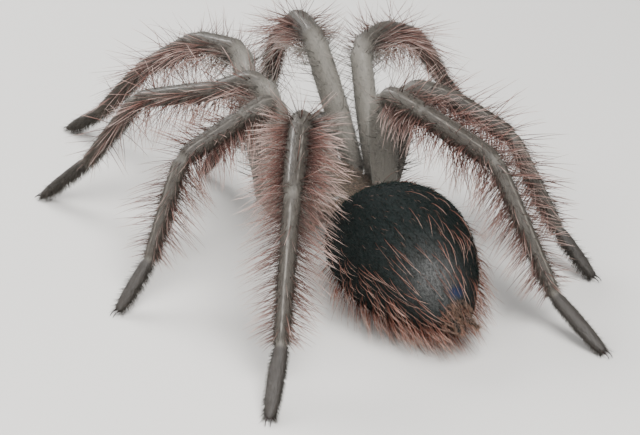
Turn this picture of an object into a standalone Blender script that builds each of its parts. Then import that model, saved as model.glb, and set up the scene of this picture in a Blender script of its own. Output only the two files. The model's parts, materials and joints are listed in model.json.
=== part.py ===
"""Goliath birdeater spider, life size, crouching on a floor with its knees drawn up.

Lengths below are in millimetres and angles in degrees. The head looks along -Y, the spider's
left side is +X, and the feet rest at Z = 0. The body is parted at its natural joints, and each
piece stands GAP clear of its neighbours.
"""

import math
import random

import bmesh
import bpy
import numpy
from mathutils import Matrix, Vector
from mathutils.bvhtree import BVHTree

MM = 0.001
GAP = 0.3
SEED = 20
SIDEWAYS = Vector((1, 0, 0))
DOWN = Vector((0, 0, -1))
SKY = 100.0
SMALL_RING_SPACING = 2.5

# Legs: length of thigh, knee, shin, instep and toe of each pair, front to back
LEG_LENGTHS = {
    1: (39, 16, 27, 24, 16),
    2: (37, 16, 24, 27, 20),
    3: (33, 11, 19, 27, 15),
    4: (33, 14, 26, 36, 19),
}
# Where each pair's thigh starts: ahead of the middle of the carapace, and out from the midline
LEG_ROOTS = {1: (9.6, 13.2), 2: (3.0, 15.7), 3: (-4.3, 15.6), 4: (-11.0, 12.6)}
# Direction of each pair's inner end on the rim of the breastplate, from straight ahead
INNER_TURN = {0: 25, 1: 52, 2: 78, 3: 104, 4: 137}
ROOT_HEIGHT = 11.5

# Pose: turns of thigh, shin and foot outward from straight ahead, then the climb of thigh, knee,
# shin and toe above level; the instep takes the angle that brings the toe to the floor
LEG_POSE = {
    ("left", 1): (-5, 28, 28, 54, -3, -34, -34),
    ("left", 2): (50, 46, 43, 92, -24, -15, -42),
    ("left", 3): (95, 104, 112, 91, -14, -18, -45),
    ("left", 4): (175, 155, 149, 78, 15, -10, -32),
    ("right", 1): (-20, 5, 5, 64, 0, -35, -35),
    ("right", 2): (6, 48, 50, 66, -2, -24, -46),
    ("right", 3): (140, 128, 148, 80, -7, -28, -44),
    ("right", 4): (130, 159, 160, 92, -5, -10, -28),
}

# Leg thickness by station: 0 inner end, 1 hip, 2 knee, 3 knee end, 4 shin end, 5 instep end, 6 tip
LEG_WIDTH = (
    (0.0, 2.2), (0.5, 3.9), (0.85, 4.8), (1.0, 4.8), (1.2, 5.0), (1.5, 5.6), (1.8, 5.5), (2.0, 5.2),
    (2.5, 5.6), (3.0, 4.8), (3.3, 5.2), (3.8, 4.9), (4.0, 4.0), (4.3, 4.0), (4.85, 3.5),
    (5.0, 3.1), (5.3, 3.8), (5.75, 3.6), (6.0, 2.4),
)
LEG_DEPTH = (
    (0.0, 4.2), (0.5, 4.9), (0.85, 4.9), (1.0, 4.9), (1.2, 6.0), (1.5, 7.2), (1.8, 6.8), (2.0, 5.7),
    (2.5, 5.6), (3.0, 4.8), (3.3, 5.2), (3.8, 4.8), (4.0, 3.9), (4.3, 3.9), (4.85, 3.4),
    (5.0, 3.0), (5.3, 3.3), (5.75, 3.0), (6.0, 2.2),
)
LEG_SCALE = {1: 1.18, 2: 1.14, 3: 1.12, 4: 1.18}
# Radius of the bend at the hip, knee, knee end, shin end and instep end
BEND_RADIUS = (4.0, 5.0, 9.0, 9.0, 9.0)
LEG_RING_SPACING = 8.0
COXA_SIDES = 8
THIGH_SIDES = 10
SHIN_SIDES = 10
FOOT_SIDES = 8
TIP_HEIGHT = 1.0
CLAW_LENGTH = 2.2
CLAW_WIDTH = 0.8
CLAW_ROOT = 1.0
CLAW_OUT = 0.6
CLAW_HEIGHTS = (1.2, 1.3, 0.3)

# Palps: lengths and pose as on a leg, with one piece for the toe
PALP_LENGTHS = (16, 8.5, 12, 13)
PALP_ROOT = (13.4, 8.6)
PALP_POSE = {"left": (10, 16, 42, -8, -48), "right": (6, 10, 46, -12, -44)}
PALP_WIDTH = ((0.0, 2.2), (0.6, 3.3), (1.0, 3.7), (1.5, 4.2), (2.0, 3.9), (2.5, 4.2), (3.0, 3.8),
              (3.5, 4.0), (4.0, 3.5), (4.6, 4.0), (5.0, 2.2))
PALP_DEPTH = ((0.0, 3.4), (0.6, 4.0), (1.0, 3.8), (1.5, 4.6), (2.0, 4.0), (2.5, 4.1), (3.0, 3.8),
              (3.5, 4.0), (4.0, 3.4), (4.6, 3.4), (5.0, 2.0))
PALP_BEND_RADIUS = (3.4, 4.0, 6.0, 6.0)
PALP_RING_SPACING = 6.0

# Head and chest
CARAPACE_BASE = ROOT_HEIGHT + 4.2
CARAPACE_PROFILE = (
    # ahead of the middle, half width, rise of the back
    (-13.2, 3.6, 1.6), (-12.2, 6.2, 2.6), (-10.0, 8.9, 3.6), (-7.0, 10.6, 4.2), (-3.0, 11.4, 4.3),
    (0.0, 11.3, 4.4), (3.0, 10.5, 5.0), (6.0, 8.8, 5.6), (8.5, 7.2, 5.8), (11.0, 6.3, 5.4),
    (13.2, 5.7, 4.5),
)
CARAPACE_SIDES = 20
CARAPACE_BELLY = 0.12
STERNUM_HALF = (7.5, 4.6)
STERNUM_BOTTOM = ROOT_HEIGHT - 4.4
STERNUM_TOP = ROOT_HEIGHT + 3.1
JAW_OUT = 2.95
JAW_LEVEL = ROOT_HEIGHT + 5.4
JAW_REACH = 6.5
JAW_TIP_AHEAD = 3.5
JAW_DROP = 6.2
JAW_BEND = 5.5
JAW_WIDTH = ((0.0, 5.0), (0.5, 5.4), (1.0, 5.4), (1.6, 5.0), (2.0, 3.8))
JAW_DEPTH = ((0.0, 6.6), (0.5, 7.4), (1.0, 7.2), (1.6, 6.2), (2.0, 4.2))
FANG_WIDTH = ((0.0, 2.0), (1.0, 1.5), (2.0, 0.6))
FANG_KNUCKLE = 3.0
FANG_BACK = 4.6
FANG_DOWN = 2.4
FANG_IN = 0.5
FANG_BEND = 2.6
FANG_POINT = 0.8
EYE_MOUND = (10.2, 2.3, 1.3, 1.3)
EYE_MOUND_STEPS = (0.0, 0.4, 0.75, 0.95)
EYES = (
    # ahead of the mound's middle, out from the midline, radius
    (0.45, 0.55, 0.42), (-0.45, 0.95, 0.3), (0.65, 1.55, 0.4), (-0.45, 1.75, 0.36),
)

# Abdomen: behind the middle of the carapace, turned so that its rear lies to the spider's right
ABDOMEN_FRONT = (-18.6, 14.2)
ABDOMEN_TURN = 6
ABDOMEN_LENGTH = 52.5
ABDOMEN_HALF_WIDTH = 17.6
ABDOMEN_HALF_HEIGHT = 16.6
ABDOMEN_MIDDLE_HEIGHT = 17.1
ABDOMEN_REAR_HEIGHT = 11.0
ABDOMEN_SIDES = 22
ABDOMEN_RINGS = 12
ABDOMEN_FRONT_CAP = 0.16
ABDOMEN_REAR_CAP = 0.24
ABDOMEN_SWELL_START = 0.045
ABDOMEN_SWELL_SPAN = 0.91
ABDOMEN_SWELL_SKEW = 0.93
ABDOMEN_FULLNESS = 0.72
ABDOMEN_FRONT_RISE = 0.45
WAIST_WIDTH = ((0.0, 3.4), (1.0, 2.8), (2.0, 3.0), (3.0, 4.0))
WAIST_LEVEL_RUN = 4.5
WAIST_REAR_RUN = 2.2
WAIST_BEND = 4.0
SPINNERET_LENGTH = 5.0
SPINNERET_WIDTH = 2.5
SPINNERET_OUT = 1.7
SPINNERET_SPLAY = 0.3
SPINNERET_DROP = 0.2
SPINNERET_BEND = 5.0

# Bristle locks: width, thickness, how far the root is sunk, and the free space kept round them
LOCK_SIDES = 3
LOCK_WIDTH = 2.8
LOCK_THICKNESS = 1.0
LOCK_ROOT_DEPTH = 1.2
LOCK_CLEARANCE = 0.4
LOCK_STATIONS = (0.0, 0.42, 0.78)
LOCK_TAPER = (0.9, 1.0, 0.65)
LOCK_BEND = 32
LOCK_SAMPLES = 9
LOCK_TRIES = (1.0, 0.8, 0.6)
GOLDEN_ANGLE = 137.5
LEG_LOCKS = (
    # node, first station, last station, how many, length, lift from the leg's own line
    ("femur", 1.14, 1.9, 9, 10.5, 52),
    ("shin", 2.14, 2.86, 5, 11.5, 64),
    ("shin", 3.06, 3.94, 10, 11.5, 52),
    ("foot", 4.06, 4.96, 11, 10.5, 50),
)
PALP_LOCKS = (
    ("palp_upper", 1.2, 1.8, 3, 6.5, 50),
    ("palp_lower", 2.2, 2.8, 2, 5.5, 50),
    ("palp_lower", 3.2, 3.9, 4, 6.5, 50),
)
ABDOMEN_LOCKS = 68
ABDOMEN_LOCK_LENGTH = 9.5
ABDOMEN_LOCK_LIFT = 24

COLOURS = {
    # red, green, blue, roughness
    "leg": (0.075, 0.068, 0.05, 0.62),
    "body": (0.035, 0.034, 0.03, 0.6),
    "abdomen": (0.014, 0.024, 0.026, 0.5),
    "horn": (0.012, 0.01, 0.009, 0.25),
}


def clear_scene():
    for item in list(bpy.data.objects):
        bpy.data.objects.remove(item, do_unlink=True)


def aim(turn, climb, side):
    """Unit vector turned outward from straight ahead and climbing above level."""
    across = math.cos(math.radians(climb))
    return Vector((
        side * math.sin(math.radians(turn)) * across,
        -math.cos(math.radians(turn)) * across,
        math.sin(math.radians(climb)),
    ))


def place(ahead, out, height, side):
    return Vector((side * out, -ahead, height))


def from_table(table, station):
    """Value at a station of a table of (station, value) rows, eased between rows."""
    for (start, low), (end, high) in zip(table, table[1:]):
        if station <= end:
            share = (station - start) / (end - start)
            return low + (high - low) * max(0.0, min(1.0, share))
    return table[-1][1]


class Ring:
    """One cross-section of a limb: its middle, its heading, its side axis and its station."""

    def __init__(self, middle, heading, across, station):
        self.middle = middle
        self.heading = heading.normalized()
        self.across = (across - self.heading * across.dot(self.heading)).normalized()
        self.station = station
        self.up = self.across.cross(self.heading).normalized()

    def moved(self, distance):
        return Ring(self.middle + self.heading * distance, self.heading, self.across, self.station)

    def matrix(self, width, depth):
        """Turns a unit circle into this ring's ellipse."""
        rows = Matrix((self.across * width / 2, self.up * depth / 2, self.heading)).transposed()
        return Matrix.Translation(self.middle) @ rows.to_4x4()


def limb_rings(points, across, radii, spacing):
    """Rings along a bent limb, with a round bend of the given radius at each joint.

    Joint k is at station k. The rings at joints fall on the middle of their bends.
    """
    count = len(points)
    reach = [0.0] * count
    for k in range(1, count - 1):
        before = (points[k] - points[k - 1]).normalized()
        after = (points[k + 1] - points[k]).normalized()
        bend = before.angle(after)
        longest = 0.46 * min((points[k] - points[k - 1]).length, (points[k + 1] - points[k]).length)
        reach[k] = min(radii[k - 1] * math.tan(bend / 2), longest)
    rings = [Ring(points[0], points[1] - points[0], across[0], 0.0)]
    for k in range(count - 1):
        length = (points[k + 1] - points[k]).length
        heading = (points[k + 1] - points[k]).normalized()
        start = reach[k]
        stop = length - reach[k + 1]
        steps = max(1, round((stop - start) / spacing))
        for step in range(0 if k else 1, steps + 1):
            run = start + (stop - start) * step / steps
            rings.append(Ring(points[k] + heading * run, heading, across[k], k + run / length))
        if k + 2 >= count:
            break
        after = (points[k + 2] - points[k + 1]).normalized()
        bend = heading.angle(after)
        pieces = 4 if bend > math.radians(50) else 2
        axis = heading.cross(after)
        if bend < math.radians(1) or axis.length < 1e-6:
            rings.append(Ring(points[k + 1], heading + after, across[k] + across[k + 1], k + 1.0))
            continue
        radius = reach[k + 1] / math.tan(bend / 2)
        first = points[k + 1] - heading * reach[k + 1]
        centre = first + axis.normalized().cross(heading) * radius
        after_length = (points[k + 2] - points[k + 1]).length
        for piece in range(1, pieces):
            share = piece / pieces
            turn = Matrix.Rotation(bend * share, 3, axis)
            middle = centre + turn @ (first - centre)
            station = k + 1 + (share * 2 - 1) * reach[k + 1] / (length if share < 0.5 else after_length)
            blend = across[k] * (1 - share) + across[k + 1] * share
            rings.append(Ring(middle, turn @ heading, blend, station))
    return rings


def cut(rings, first, last):
    """The rings from one joint to another, drawn back by half a gap at each end."""
    kept = [ring for ring in rings if first - 1e-6 <= ring.station <= last + 1e-6]
    kept[0] = kept[0].moved(GAP / 2)
    kept[-1] = kept[-1].moved(-GAP / 2)
    return kept


def extrude_on(mesh, face, keep):
    """Extrudes a face in place and gives the new end face, keeping the old one as the start cap or not."""
    grown = bmesh.ops.extrude_face_region(mesh, geom=[face])["geom"]
    if not keep:
        bmesh.ops.delete(mesh, geom=[face], context="FACES_ONLY")
    return next(item for item in grown if isinstance(item, bmesh.types.BMFace))


def loft(frames, sides, shape=None, point=None):
    """A closed mesh that sweeps a circle through the frames, ending in a point if one is given."""
    mesh = bmesh.new()
    start = bmesh.ops.create_circle(mesh, cap_ends=True, radius=1.0, segments=sides)
    if shape:
        for vertex in start["verts"]:
            vertex.co = shape(vertex.co)
    bmesh.ops.transform(mesh, matrix=frames[0], verts=start["verts"])
    face = mesh.faces[:][0]
    for number in range(1, len(frames)):
        face = extrude_on(mesh, face, keep=number == 1)
        step = frames[number] @ frames[number - 1].inverted()
        bmesh.ops.transform(mesh, matrix=step, verts=face.verts)
    if point is not None:
        face = extrude_on(mesh, face, keep=False)
        bmesh.ops.pointmerge(mesh, verts=face.verts, merge_co=point)
    bmesh.ops.recalc_face_normals(mesh, faces=mesh.faces)
    return mesh


def limb(rings, widths, depths, scale, sides):
    frames = [
        ring.matrix(from_table(widths, ring.station) * scale, from_table(depths, ring.station) * scale)
        for ring in rings
    ]
    return loft(frames, sides)


def rest_on_floor(mesh):
    """Flattens what would sink below the floor into a sole at Z = 0."""
    for vertex in mesh.verts:
        vertex.co.z = max(vertex.co.z, 0.0)


class Spider:
    """Holds every node's closed mesh, in millimetres, with the pieces that grow from it."""

    def __init__(self):
        self.bodies = {}
        self.finish = {}
        self.trees = {}
        self.pieces = {}
        self.rings = {}
        self.lock_spots = {}

    def add(self, name, mesh, finish):
        self.bodies[name] = mesh
        self.finish[name] = finish
        self.trees[name] = BVHTree.FromBMesh(mesh)
        self.pieces[name] = []
        self.lock_spots[name] = []


def along(curve, share):
    """A spot on the curve that runs from its first point to its last and bends toward its second."""
    start, bend, end = curve
    return start.lerp(bend, share).lerp(bend.lerp(end, share), share)


def blade(curve, flat, width, thickness):
    """A tapered, bent blade along a curve, closed at its root and ending in a point."""
    frames = []
    for share, size in zip(LOCK_STATIONS, LOCK_TAPER):
        heading = curve[0].lerp(curve[1], share)
        heading = curve[1].lerp(curve[2], share) - heading
        ring = Ring(along(curve, share), heading, flat, share)
        frames.append(ring.matrix(width * size, thickness * size))
    return loft(frames, LOCK_SIDES, point=curve[2])


def is_clear(spider, name, curve, width):
    """Whether a lock along the curve keeps clear of the floor, other nodes and their locks."""
    spots = [along(curve, (k + 1) / LOCK_SAMPLES) for k in range(LOCK_SAMPLES)]
    reach = LOCK_CLEARANCE + width / 2
    for spot in spots:
        if spot.z < reach:
            return False
        for other, tree in spider.trees.items():
            if other != name and tree.find_nearest(spot, reach)[0] is not None:
                return False
    own = numpy.array(spots)
    for other, rows in spider.lock_spots.items():
        if other == name or not rows:
            continue
        gaps = numpy.linalg.norm(own[:, None] - numpy.concatenate(rows)[None], axis=2)
        if gaps.min() < reach + width / 2:
            return False
    return True


def grow_lock(spider, name, spot, normal, lie, length, lift, draw):
    """Roots one lock in the surface at a spot, bending along its lie, shorter where space is tight."""
    rise = math.radians(lift + draw.uniform(-7, 7))
    low = rise - math.radians(LOCK_BEND)
    lie = (lie - normal * lie.dot(normal)).normalized()
    sway = lie.cross(normal) * draw.uniform(-0.22, 0.22)
    width = LOCK_WIDTH * draw.uniform(0.85, 1.1)
    for share in LOCK_TRIES:
        run = length * share * 0.5
        bend = spot + (normal * math.sin(rise) + lie * math.cos(rise) + sway) * run
        tip = bend + (normal * math.sin(low) + lie * math.cos(low) + sway) * run
        curve = (spot - normal * LOCK_ROOT_DEPTH, bend, tip)
        if is_clear(spider, name, curve, width):
            flat = lie.cross(normal) + normal * draw.uniform(-0.5, 0.5)
            spider.pieces[name].append(blade(curve, flat, width, LOCK_THICKNESS))
            spots = [along(curve, (k + 1) / LOCK_SAMPLES) for k in range(LOCK_SAMPLES)]
            spider.lock_spots[name].append(numpy.array(spots))
            return


def ring_at(rings, station):
    """The limb's ring at any station, between its own rings."""
    for before, after in zip(rings, rings[1:]):
        if station <= after.station:
            share = (station - before.station) / max(after.station - before.station, 1e-6)
            return Ring(before.middle.lerp(after.middle, share), before.heading.lerp(after.heading, share),
                        before.across.lerp(after.across, share), station)
    return rings[-1]


def grow_on_limb(spider, rows, tag, widths, depths, scale, draw):
    """Sets the rows' locks round a limb, each turned on from the last by the golden angle."""
    turn = draw.uniform(0, 360)
    for word, first, last, count, length, lift in rows:
        name = word + "_" + tag
        for k in range(count):
            station = first + (last - first) * (k + 0.5) / count
            ring = ring_at(spider.rings[name], station)
            turn += GOLDEN_ANGLE
            side = math.cos(math.radians(turn))
            up = math.sin(math.radians(turn))
            width = from_table(widths, station) * scale
            depth = from_table(depths, station) * scale
            spot = ring.middle + ring.across * side * width / 2 + ring.up * up * depth / 2
            normal = (ring.across * side / width + ring.up * up / depth).normalized()
            run = length * draw.uniform(0.85, 1.15)
            grow_lock(spider, name, spot, normal, ring.heading, run, lift, draw)


def grow_on_abdomen(spider, draw):
    """Spreads locks over the abdomen, lying back toward the spinnerets and closer at the rear."""
    rear = abdomen_frame(1.0).translation
    for k in range(ABDOMEN_LOCKS):
        share = 0.1 + 0.84 * ((k + 0.5) / ABDOMEN_LOCKS) ** 0.85
        turn = math.radians(k * GOLDEN_ANGLE)
        frame = abdomen_frame(share)
        outside = frame @ Vector((math.cos(turn), math.sin(turn), 0))
        spot, normal, number, distance = spider.trees["abdomen"].find_nearest(outside)
        length = ABDOMEN_LOCK_LENGTH * draw.uniform(0.85, 1.15)
        grow_lock(spider, "abdomen", spot, normal, rear - spot, length, ABDOMEN_LOCK_LIFT, draw)


def inner_end(pair, side):
    """Where a limb starts, just off the rim of the breastplate."""
    turn = math.radians(INNER_TURN[pair])
    ahead = STERNUM_HALF[0] * math.cos(turn)
    out = STERNUM_HALF[1] * math.sin(turn)
    grow = 1 + 2 * GAP / math.hypot(ahead, out)
    return place(ahead * grow, out * grow, ROOT_HEIGHT - 0.8, side)


def leg_points(pair, side_name):
    """The joints of one leg from its inner end to its tip, and the side axis of each piece."""
    side = 1 if side_name == "left" else -1
    thigh_turn, shin_turn, foot_turn, thigh, knee, shin, toe = LEG_POSE[side_name, pair]
    lengths = LEG_LENGTHS[pair]
    ahead, out = LEG_ROOTS[pair]
    points = [inner_end(pair, side), place(ahead, out, ROOT_HEIGHT, side)]
    drop = ROOT_HEIGHT - TIP_HEIGHT
    for length, climb in zip((lengths[0], lengths[1], lengths[2], lengths[4]), (thigh, knee, shin, toe)):
        drop += length * math.sin(math.radians(climb))
    instep = -math.degrees(math.asin(min(1.0, drop / lengths[3])))
    turns = (thigh_turn, shin_turn, shin_turn, foot_turn, foot_turn)
    for length, turn, climb in zip(lengths, turns, (thigh, knee, shin, instep, toe)):
        points.append(points[-1] + aim(turn, climb, side) * length)
    coxa_run = points[1] - points[0]
    across = [-DOWN.cross(coxa_run).normalized()]
    for turn in turns:
        across.append(-DOWN.cross(aim(turn, 0, side)).normalized())
    return points, across


def add_claws(spider, name, tip):
    """Two small claws that curve down from the end of the toe."""
    ahead = Vector((tip.heading.x, tip.heading.y, 0)).normalized()
    for side in (-1, 1):
        root = tip.middle - ahead * CLAW_ROOT + tip.across * side * CLAW_OUT
        bend = root + ahead * (CLAW_ROOT + CLAW_LENGTH * 0.6)
        end = bend + ahead * CLAW_LENGTH * 0.4
        root.z, bend.z, end.z = CLAW_HEIGHTS
        spider.pieces[name].append(blade((root, bend, end), tip.across, CLAW_WIDTH, CLAW_WIDTH))


def build_leg(spider, side_name, pair):
    points, across = leg_points(pair, side_name)
    rings = limb_rings(points, across, BEND_RADIUS, LEG_RING_SPACING)
    scale = LEG_SCALE[pair]
    tag = side_name + "_" + str(pair)
    pieces = (("coxa", 0, 1, COXA_SIDES), ("femur", 1, 2, THIGH_SIDES), ("shin", 2, 4, SHIN_SIDES),
              ("foot", 4, 6, FOOT_SIDES))
    for word, first, last, sides in pieces:
        part = cut(rings, first, last)
        mesh = limb(part, LEG_WIDTH, LEG_DEPTH, scale, sides)
        if word == "foot":
            rest_on_floor(mesh)
        spider.add(word + "_" + tag, mesh, "leg")
        spider.rings[word + "_" + tag] = part
    add_claws(spider, "foot_" + tag, rings[-1])


def build_palp(spider, side_name):
    side = 1 if side_name == "left" else -1
    thigh_turn, shin_turn, thigh, knee, shin = PALP_POSE[side_name]
    lengths = PALP_LENGTHS
    root = place(PALP_ROOT[0], PALP_ROOT[1], ROOT_HEIGHT - 0.8, side)
    points = [inner_end(0, side) - Vector((0, 0, 1.0)), root]
    for length, turn, climb in zip(lengths, (thigh_turn, shin_turn, shin_turn), (thigh, knee, shin)):
        points.append(points[-1] + aim(turn, climb, side) * length)
    toe = -math.degrees(math.asin(min(1.0, (points[-1].z - TIP_HEIGHT) / lengths[3])))
    points.append(points[-1] + aim(shin_turn, toe, side) * lengths[3])
    across = [-DOWN.cross(root - points[0]).normalized()]
    for turn in (thigh_turn, shin_turn, shin_turn, shin_turn):
        across.append(-DOWN.cross(aim(turn, 0, side)).normalized())
    rings = limb_rings(points, across, PALP_BEND_RADIUS, PALP_RING_SPACING)
    for word, first, last in (("palp_upper_", 0, 2), ("palp_lower_", 2, 5)):
        part = cut(rings, first, last)
        mesh = limb(part, PALP_WIDTH, PALP_DEPTH, 1.0, FOOT_SIDES)
        rest_on_floor(mesh)
        spider.add(word + side_name, mesh, "leg")
        spider.rings[word + side_name] = part


def carapace_section(point):
    """Half an ellipse over an almost flat underside."""
    return Vector((point.x, point.y if point.y > 0 else point.y * CARAPACE_BELLY, point.z))


def build_carapace(spider):
    frames = []
    for ahead, half_width, rise in CARAPACE_PROFILE:
        axes = Matrix(((half_width, 0, 0), (0, 0, -1), (0, rise, 0)))
        frames.append(Matrix.Translation((0, -ahead, CARAPACE_BASE)) @ axes.to_4x4())
    spider.add("carapace", loft(frames, CARAPACE_SIDES, shape=carapace_section), "body")


def build_sternum(spider):
    """A breastplate block between the hips, with its underside rounded off."""
    frames = []
    for height, size in ((STERNUM_BOTTOM, 0.7), (STERNUM_BOTTOM + 1.2, 1.0), (STERNUM_TOP, 1.0)):
        flat = Matrix.Diagonal((STERNUM_HALF[1] * size, STERNUM_HALF[0] * size, 1.0, 1.0))
        frames.append(Matrix.Translation((0, 0, height)) @ flat)
    spider.add("sternum", loft(frames, CARAPACE_SIDES), "body")


def build_eyes(spider):
    """A low mound on the front of the carapace with four pairs of small eyes."""
    ahead, half_width, half_length, rise = EYE_MOUND
    tree = spider.trees["carapace"]
    top = tree.ray_cast(Vector((0, -ahead, SKY)), DOWN)[0]
    for turn in range(0, 360, 30):
        across = half_width * math.cos(math.radians(turn))
        along_body = half_length * math.sin(math.radians(turn))
        hit = tree.ray_cast(Vector((across, along_body - ahead, SKY)), DOWN)[0]
        top = max(top, hit, key=lambda point: point.z)
    base = top.z + GAP
    frames = []
    for share in EYE_MOUND_STEPS:
        size = math.sqrt(1 - share * share)
        scale = Matrix.Diagonal((half_width * size, half_length * size, 1.0, 1.0))
        frames.append(Matrix.Translation((0, -ahead, base + rise * share)) @ scale)
    spider.add("eye_mound", loft(frames, 12), "horn")
    for forward, out, radius in EYES:
        for side in (-1, 1):
            spot = Vector((side * out, -ahead - forward, SKY))
            hit = spider.trees["eye_mound"].ray_cast(spot, DOWN)[0]
            eye = bmesh.new()
            bmesh.ops.create_icosphere(eye, subdivisions=1, radius=radius, matrix=Matrix.Translation(hit))
            spider.pieces["eye_mound"].append(eye)


def build_jaws(spider):
    """Two stout jaws ahead of the carapace, each with a fang folded back under its tip."""
    front = CARAPACE_PROFILE[-1][0] + GAP
    for side_name, side in (("left", 1), ("right", -1)):
        points = [
            place(front, JAW_OUT, JAW_LEVEL, side),
            place(front + JAW_REACH, JAW_OUT, JAW_LEVEL, side),
            place(front + JAW_REACH + JAW_TIP_AHEAD, JAW_OUT, JAW_LEVEL - JAW_DROP, side),
        ]
        rings = limb_rings(points, [SIDEWAYS] * 2, (JAW_BEND,), SMALL_RING_SPACING)
        spider.add("chelicera_" + side_name, limb(rings, JAW_WIDTH, JAW_DEPTH, 1.0, THIGH_SIDES), "body")
        end = rings[-1]
        base = end.middle + end.heading * GAP
        knuckle = base + end.heading * FANG_KNUCKLE
        last = knuckle + Vector((-side * FANG_IN, FANG_BACK, -FANG_DOWN))
        fang_rings = limb_rings([base, knuckle, last], [SIDEWAYS] * 2, (FANG_BEND,), SMALL_RING_SPACING)
        frames = []
        for ring in fang_rings:
            width = from_table(FANG_WIDTH, ring.station)
            frames.append(ring.matrix(width, width))
        point = last + (last - knuckle).normalized() * FANG_POINT
        spider.add("fang_" + side_name, loft(frames, FOOT_SIDES, point=point), "horn")


def abdomen_frame(share):
    """Frame of the abdomen's ring at a share of the way from its front to its rear."""
    run = (ABDOMEN_SWELL_START + ABDOMEN_SWELL_SPAN * share) ** ABDOMEN_SWELL_SKEW
    swell = math.sin(math.pi * run) ** ABDOMEN_FULLNESS
    size = max(swell, ABDOMEN_FRONT_CAP if share < 0.5 else ABDOMEN_REAR_CAP)
    back = aim(180 - ABDOMEN_TURN, 0, -1)
    middle = place(ABDOMEN_FRONT[0], 0, 0, 1) + back * ABDOMEN_LENGTH * share
    ease = 0.5 - 0.5 * math.cos(math.pi * min(1.0, share / ABDOMEN_FRONT_RISE))
    height = ABDOMEN_FRONT[1] + (ABDOMEN_MIDDLE_HEIGHT - ABDOMEN_FRONT[1]) * ease
    fall = max(0.0, share - 0.5) / 0.5
    height += (ABDOMEN_REAR_HEIGHT - ABDOMEN_MIDDLE_HEIGHT) * fall * fall
    middle.z = height
    across = Vector((0, 0, 1)).cross(back)
    axes = Matrix((across * ABDOMEN_HALF_WIDTH * size, Vector((0, 0, 1)) * ABDOMEN_HALF_HEIGHT * size,
                   back)).transposed()
    return Matrix.Translation(middle) @ axes.to_4x4()


def build_abdomen(spider):
    shares = [0.5 - 0.5 * math.cos(math.pi * k / ABDOMEN_RINGS) for k in range(ABDOMEN_RINGS + 1)]
    spider.add("abdomen", loft([abdomen_frame(s) for s in shares], ABDOMEN_SIDES), "abdomen")
    front = abdomen_frame(0.0).translation
    back = aim(180 - ABDOMEN_TURN, 0, -1)
    start = place(-STERNUM_HALF[0] - GAP, 0, ROOT_HEIGHT - 0.2, 1)
    end = front - back * GAP
    points = [start, start + Vector((0, WAIST_LEVEL_RUN, 0)), end - back * WAIST_REAR_RUN, end]
    rings = limb_rings(points, [SIDEWAYS] * 3, (WAIST_BEND, WAIST_BEND), SMALL_RING_SPACING)
    spider.add("pedicel", limb(rings, WAIST_WIDTH, WAIST_WIDTH, 1.0, FOOT_SIDES), "body")
    rear = abdomen_frame(1.0).translation
    for side_name, side in (("left", 1), ("right", -1)):
        out = Vector((0, 0, 1)).cross(back) * -side
        base = rear + back * GAP + out * SPINNERET_OUT
        middle = base + back * SPINNERET_LENGTH * 0.45
        spread = back + out * SPINNERET_SPLAY + DOWN * SPINNERET_DROP
        tip = middle + spread * SPINNERET_LENGTH * 0.55
        rings = limb_rings([base, middle, tip], [SIDEWAYS] * 2, (SPINNERET_BEND,), SMALL_RING_SPACING)
        widths = ((0.0, SPINNERET_WIDTH), (1.0, SPINNERET_WIDTH * 0.85), (2.0, SPINNERET_WIDTH * 0.4))
        spider.add("spinneret_" + side_name, limb(rings, widths, widths, 1.0, FOOT_SIDES), "body")


def material(name, finish):
    red, green, blue, roughness = COLOURS[finish]
    made = bpy.data.materials.new(name)
    made.use_nodes = True
    shader = made.node_tree.nodes["Principled BSDF"]
    shader.inputs["Base Color"].default_value = (red, green, blue, 1.0)
    shader.inputs["Roughness"].default_value = roughness
    shader.inputs["Metallic"].default_value = 0.0
    return made


def to_object(name, mesh, collection):
    """Writes a mesh in millimetres as an object in metres."""
    bmesh.ops.scale(mesh, vec=(MM, MM, MM), verts=mesh.verts)
    bmesh.ops.triangulate(mesh, faces=[face for face in mesh.faces if len(face.verts) > 4])
    data = bpy.data.meshes.new(name)
    mesh.to_mesh(data)
    mesh.free()
    made = bpy.data.objects.new(name, data)
    collection.objects.link(made)
    return made


def keep_largest(data):
    """Drops every closed surface of the mesh but the largest."""
    mesh = bmesh.new()
    mesh.from_mesh(data)
    bmesh.ops.remove_doubles(mesh, verts=mesh.verts, dist=1e-6)
    left = set(mesh.faces)
    groups = []
    while left:
        stack = [left.pop()]
        group = set(stack)
        while stack:
            face = stack.pop()
            for edge in face.edges:
                for other in edge.link_faces:
                    if other in left:
                        left.discard(other)
                        group.add(other)
                        stack.append(other)
        groups.append(group)
    groups.sort(key=lambda group: sum(face.calc_area() for face in group))
    for group in groups[:-1]:
        bmesh.ops.delete(mesh, geom=list(group), context="FACES")
    loose = [vertex for vertex in mesh.verts if not vertex.link_faces]
    bmesh.ops.delete(mesh, geom=loose, context="VERTS")
    mesh.to_mesh(data)
    mesh.free()


def join_pieces(target, pieces):
    """Fuses the pieces into the target with one Boolean union."""
    group = bpy.data.collections.new(target.name + "_pieces")
    bpy.context.scene.collection.children.link(group)
    for number, piece in enumerate(pieces):
        to_object(target.name + "_piece_" + str(number), piece, group)
    union = target.modifiers.new("join", "BOOLEAN")
    union.operation = "UNION"
    union.solver = "EXACT"
    union.operand_type = "COLLECTION"
    union.collection = group
    view = bpy.context.evaluated_depsgraph_get()
    joined = bpy.data.meshes.new_from_object(target.evaluated_get(view))
    target.modifiers.clear()
    target.data = joined
    for item in list(group.objects):
        bpy.data.objects.remove(item, do_unlink=True)
    bpy.data.collections.remove(group)
    keep_largest(target.data)


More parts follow.
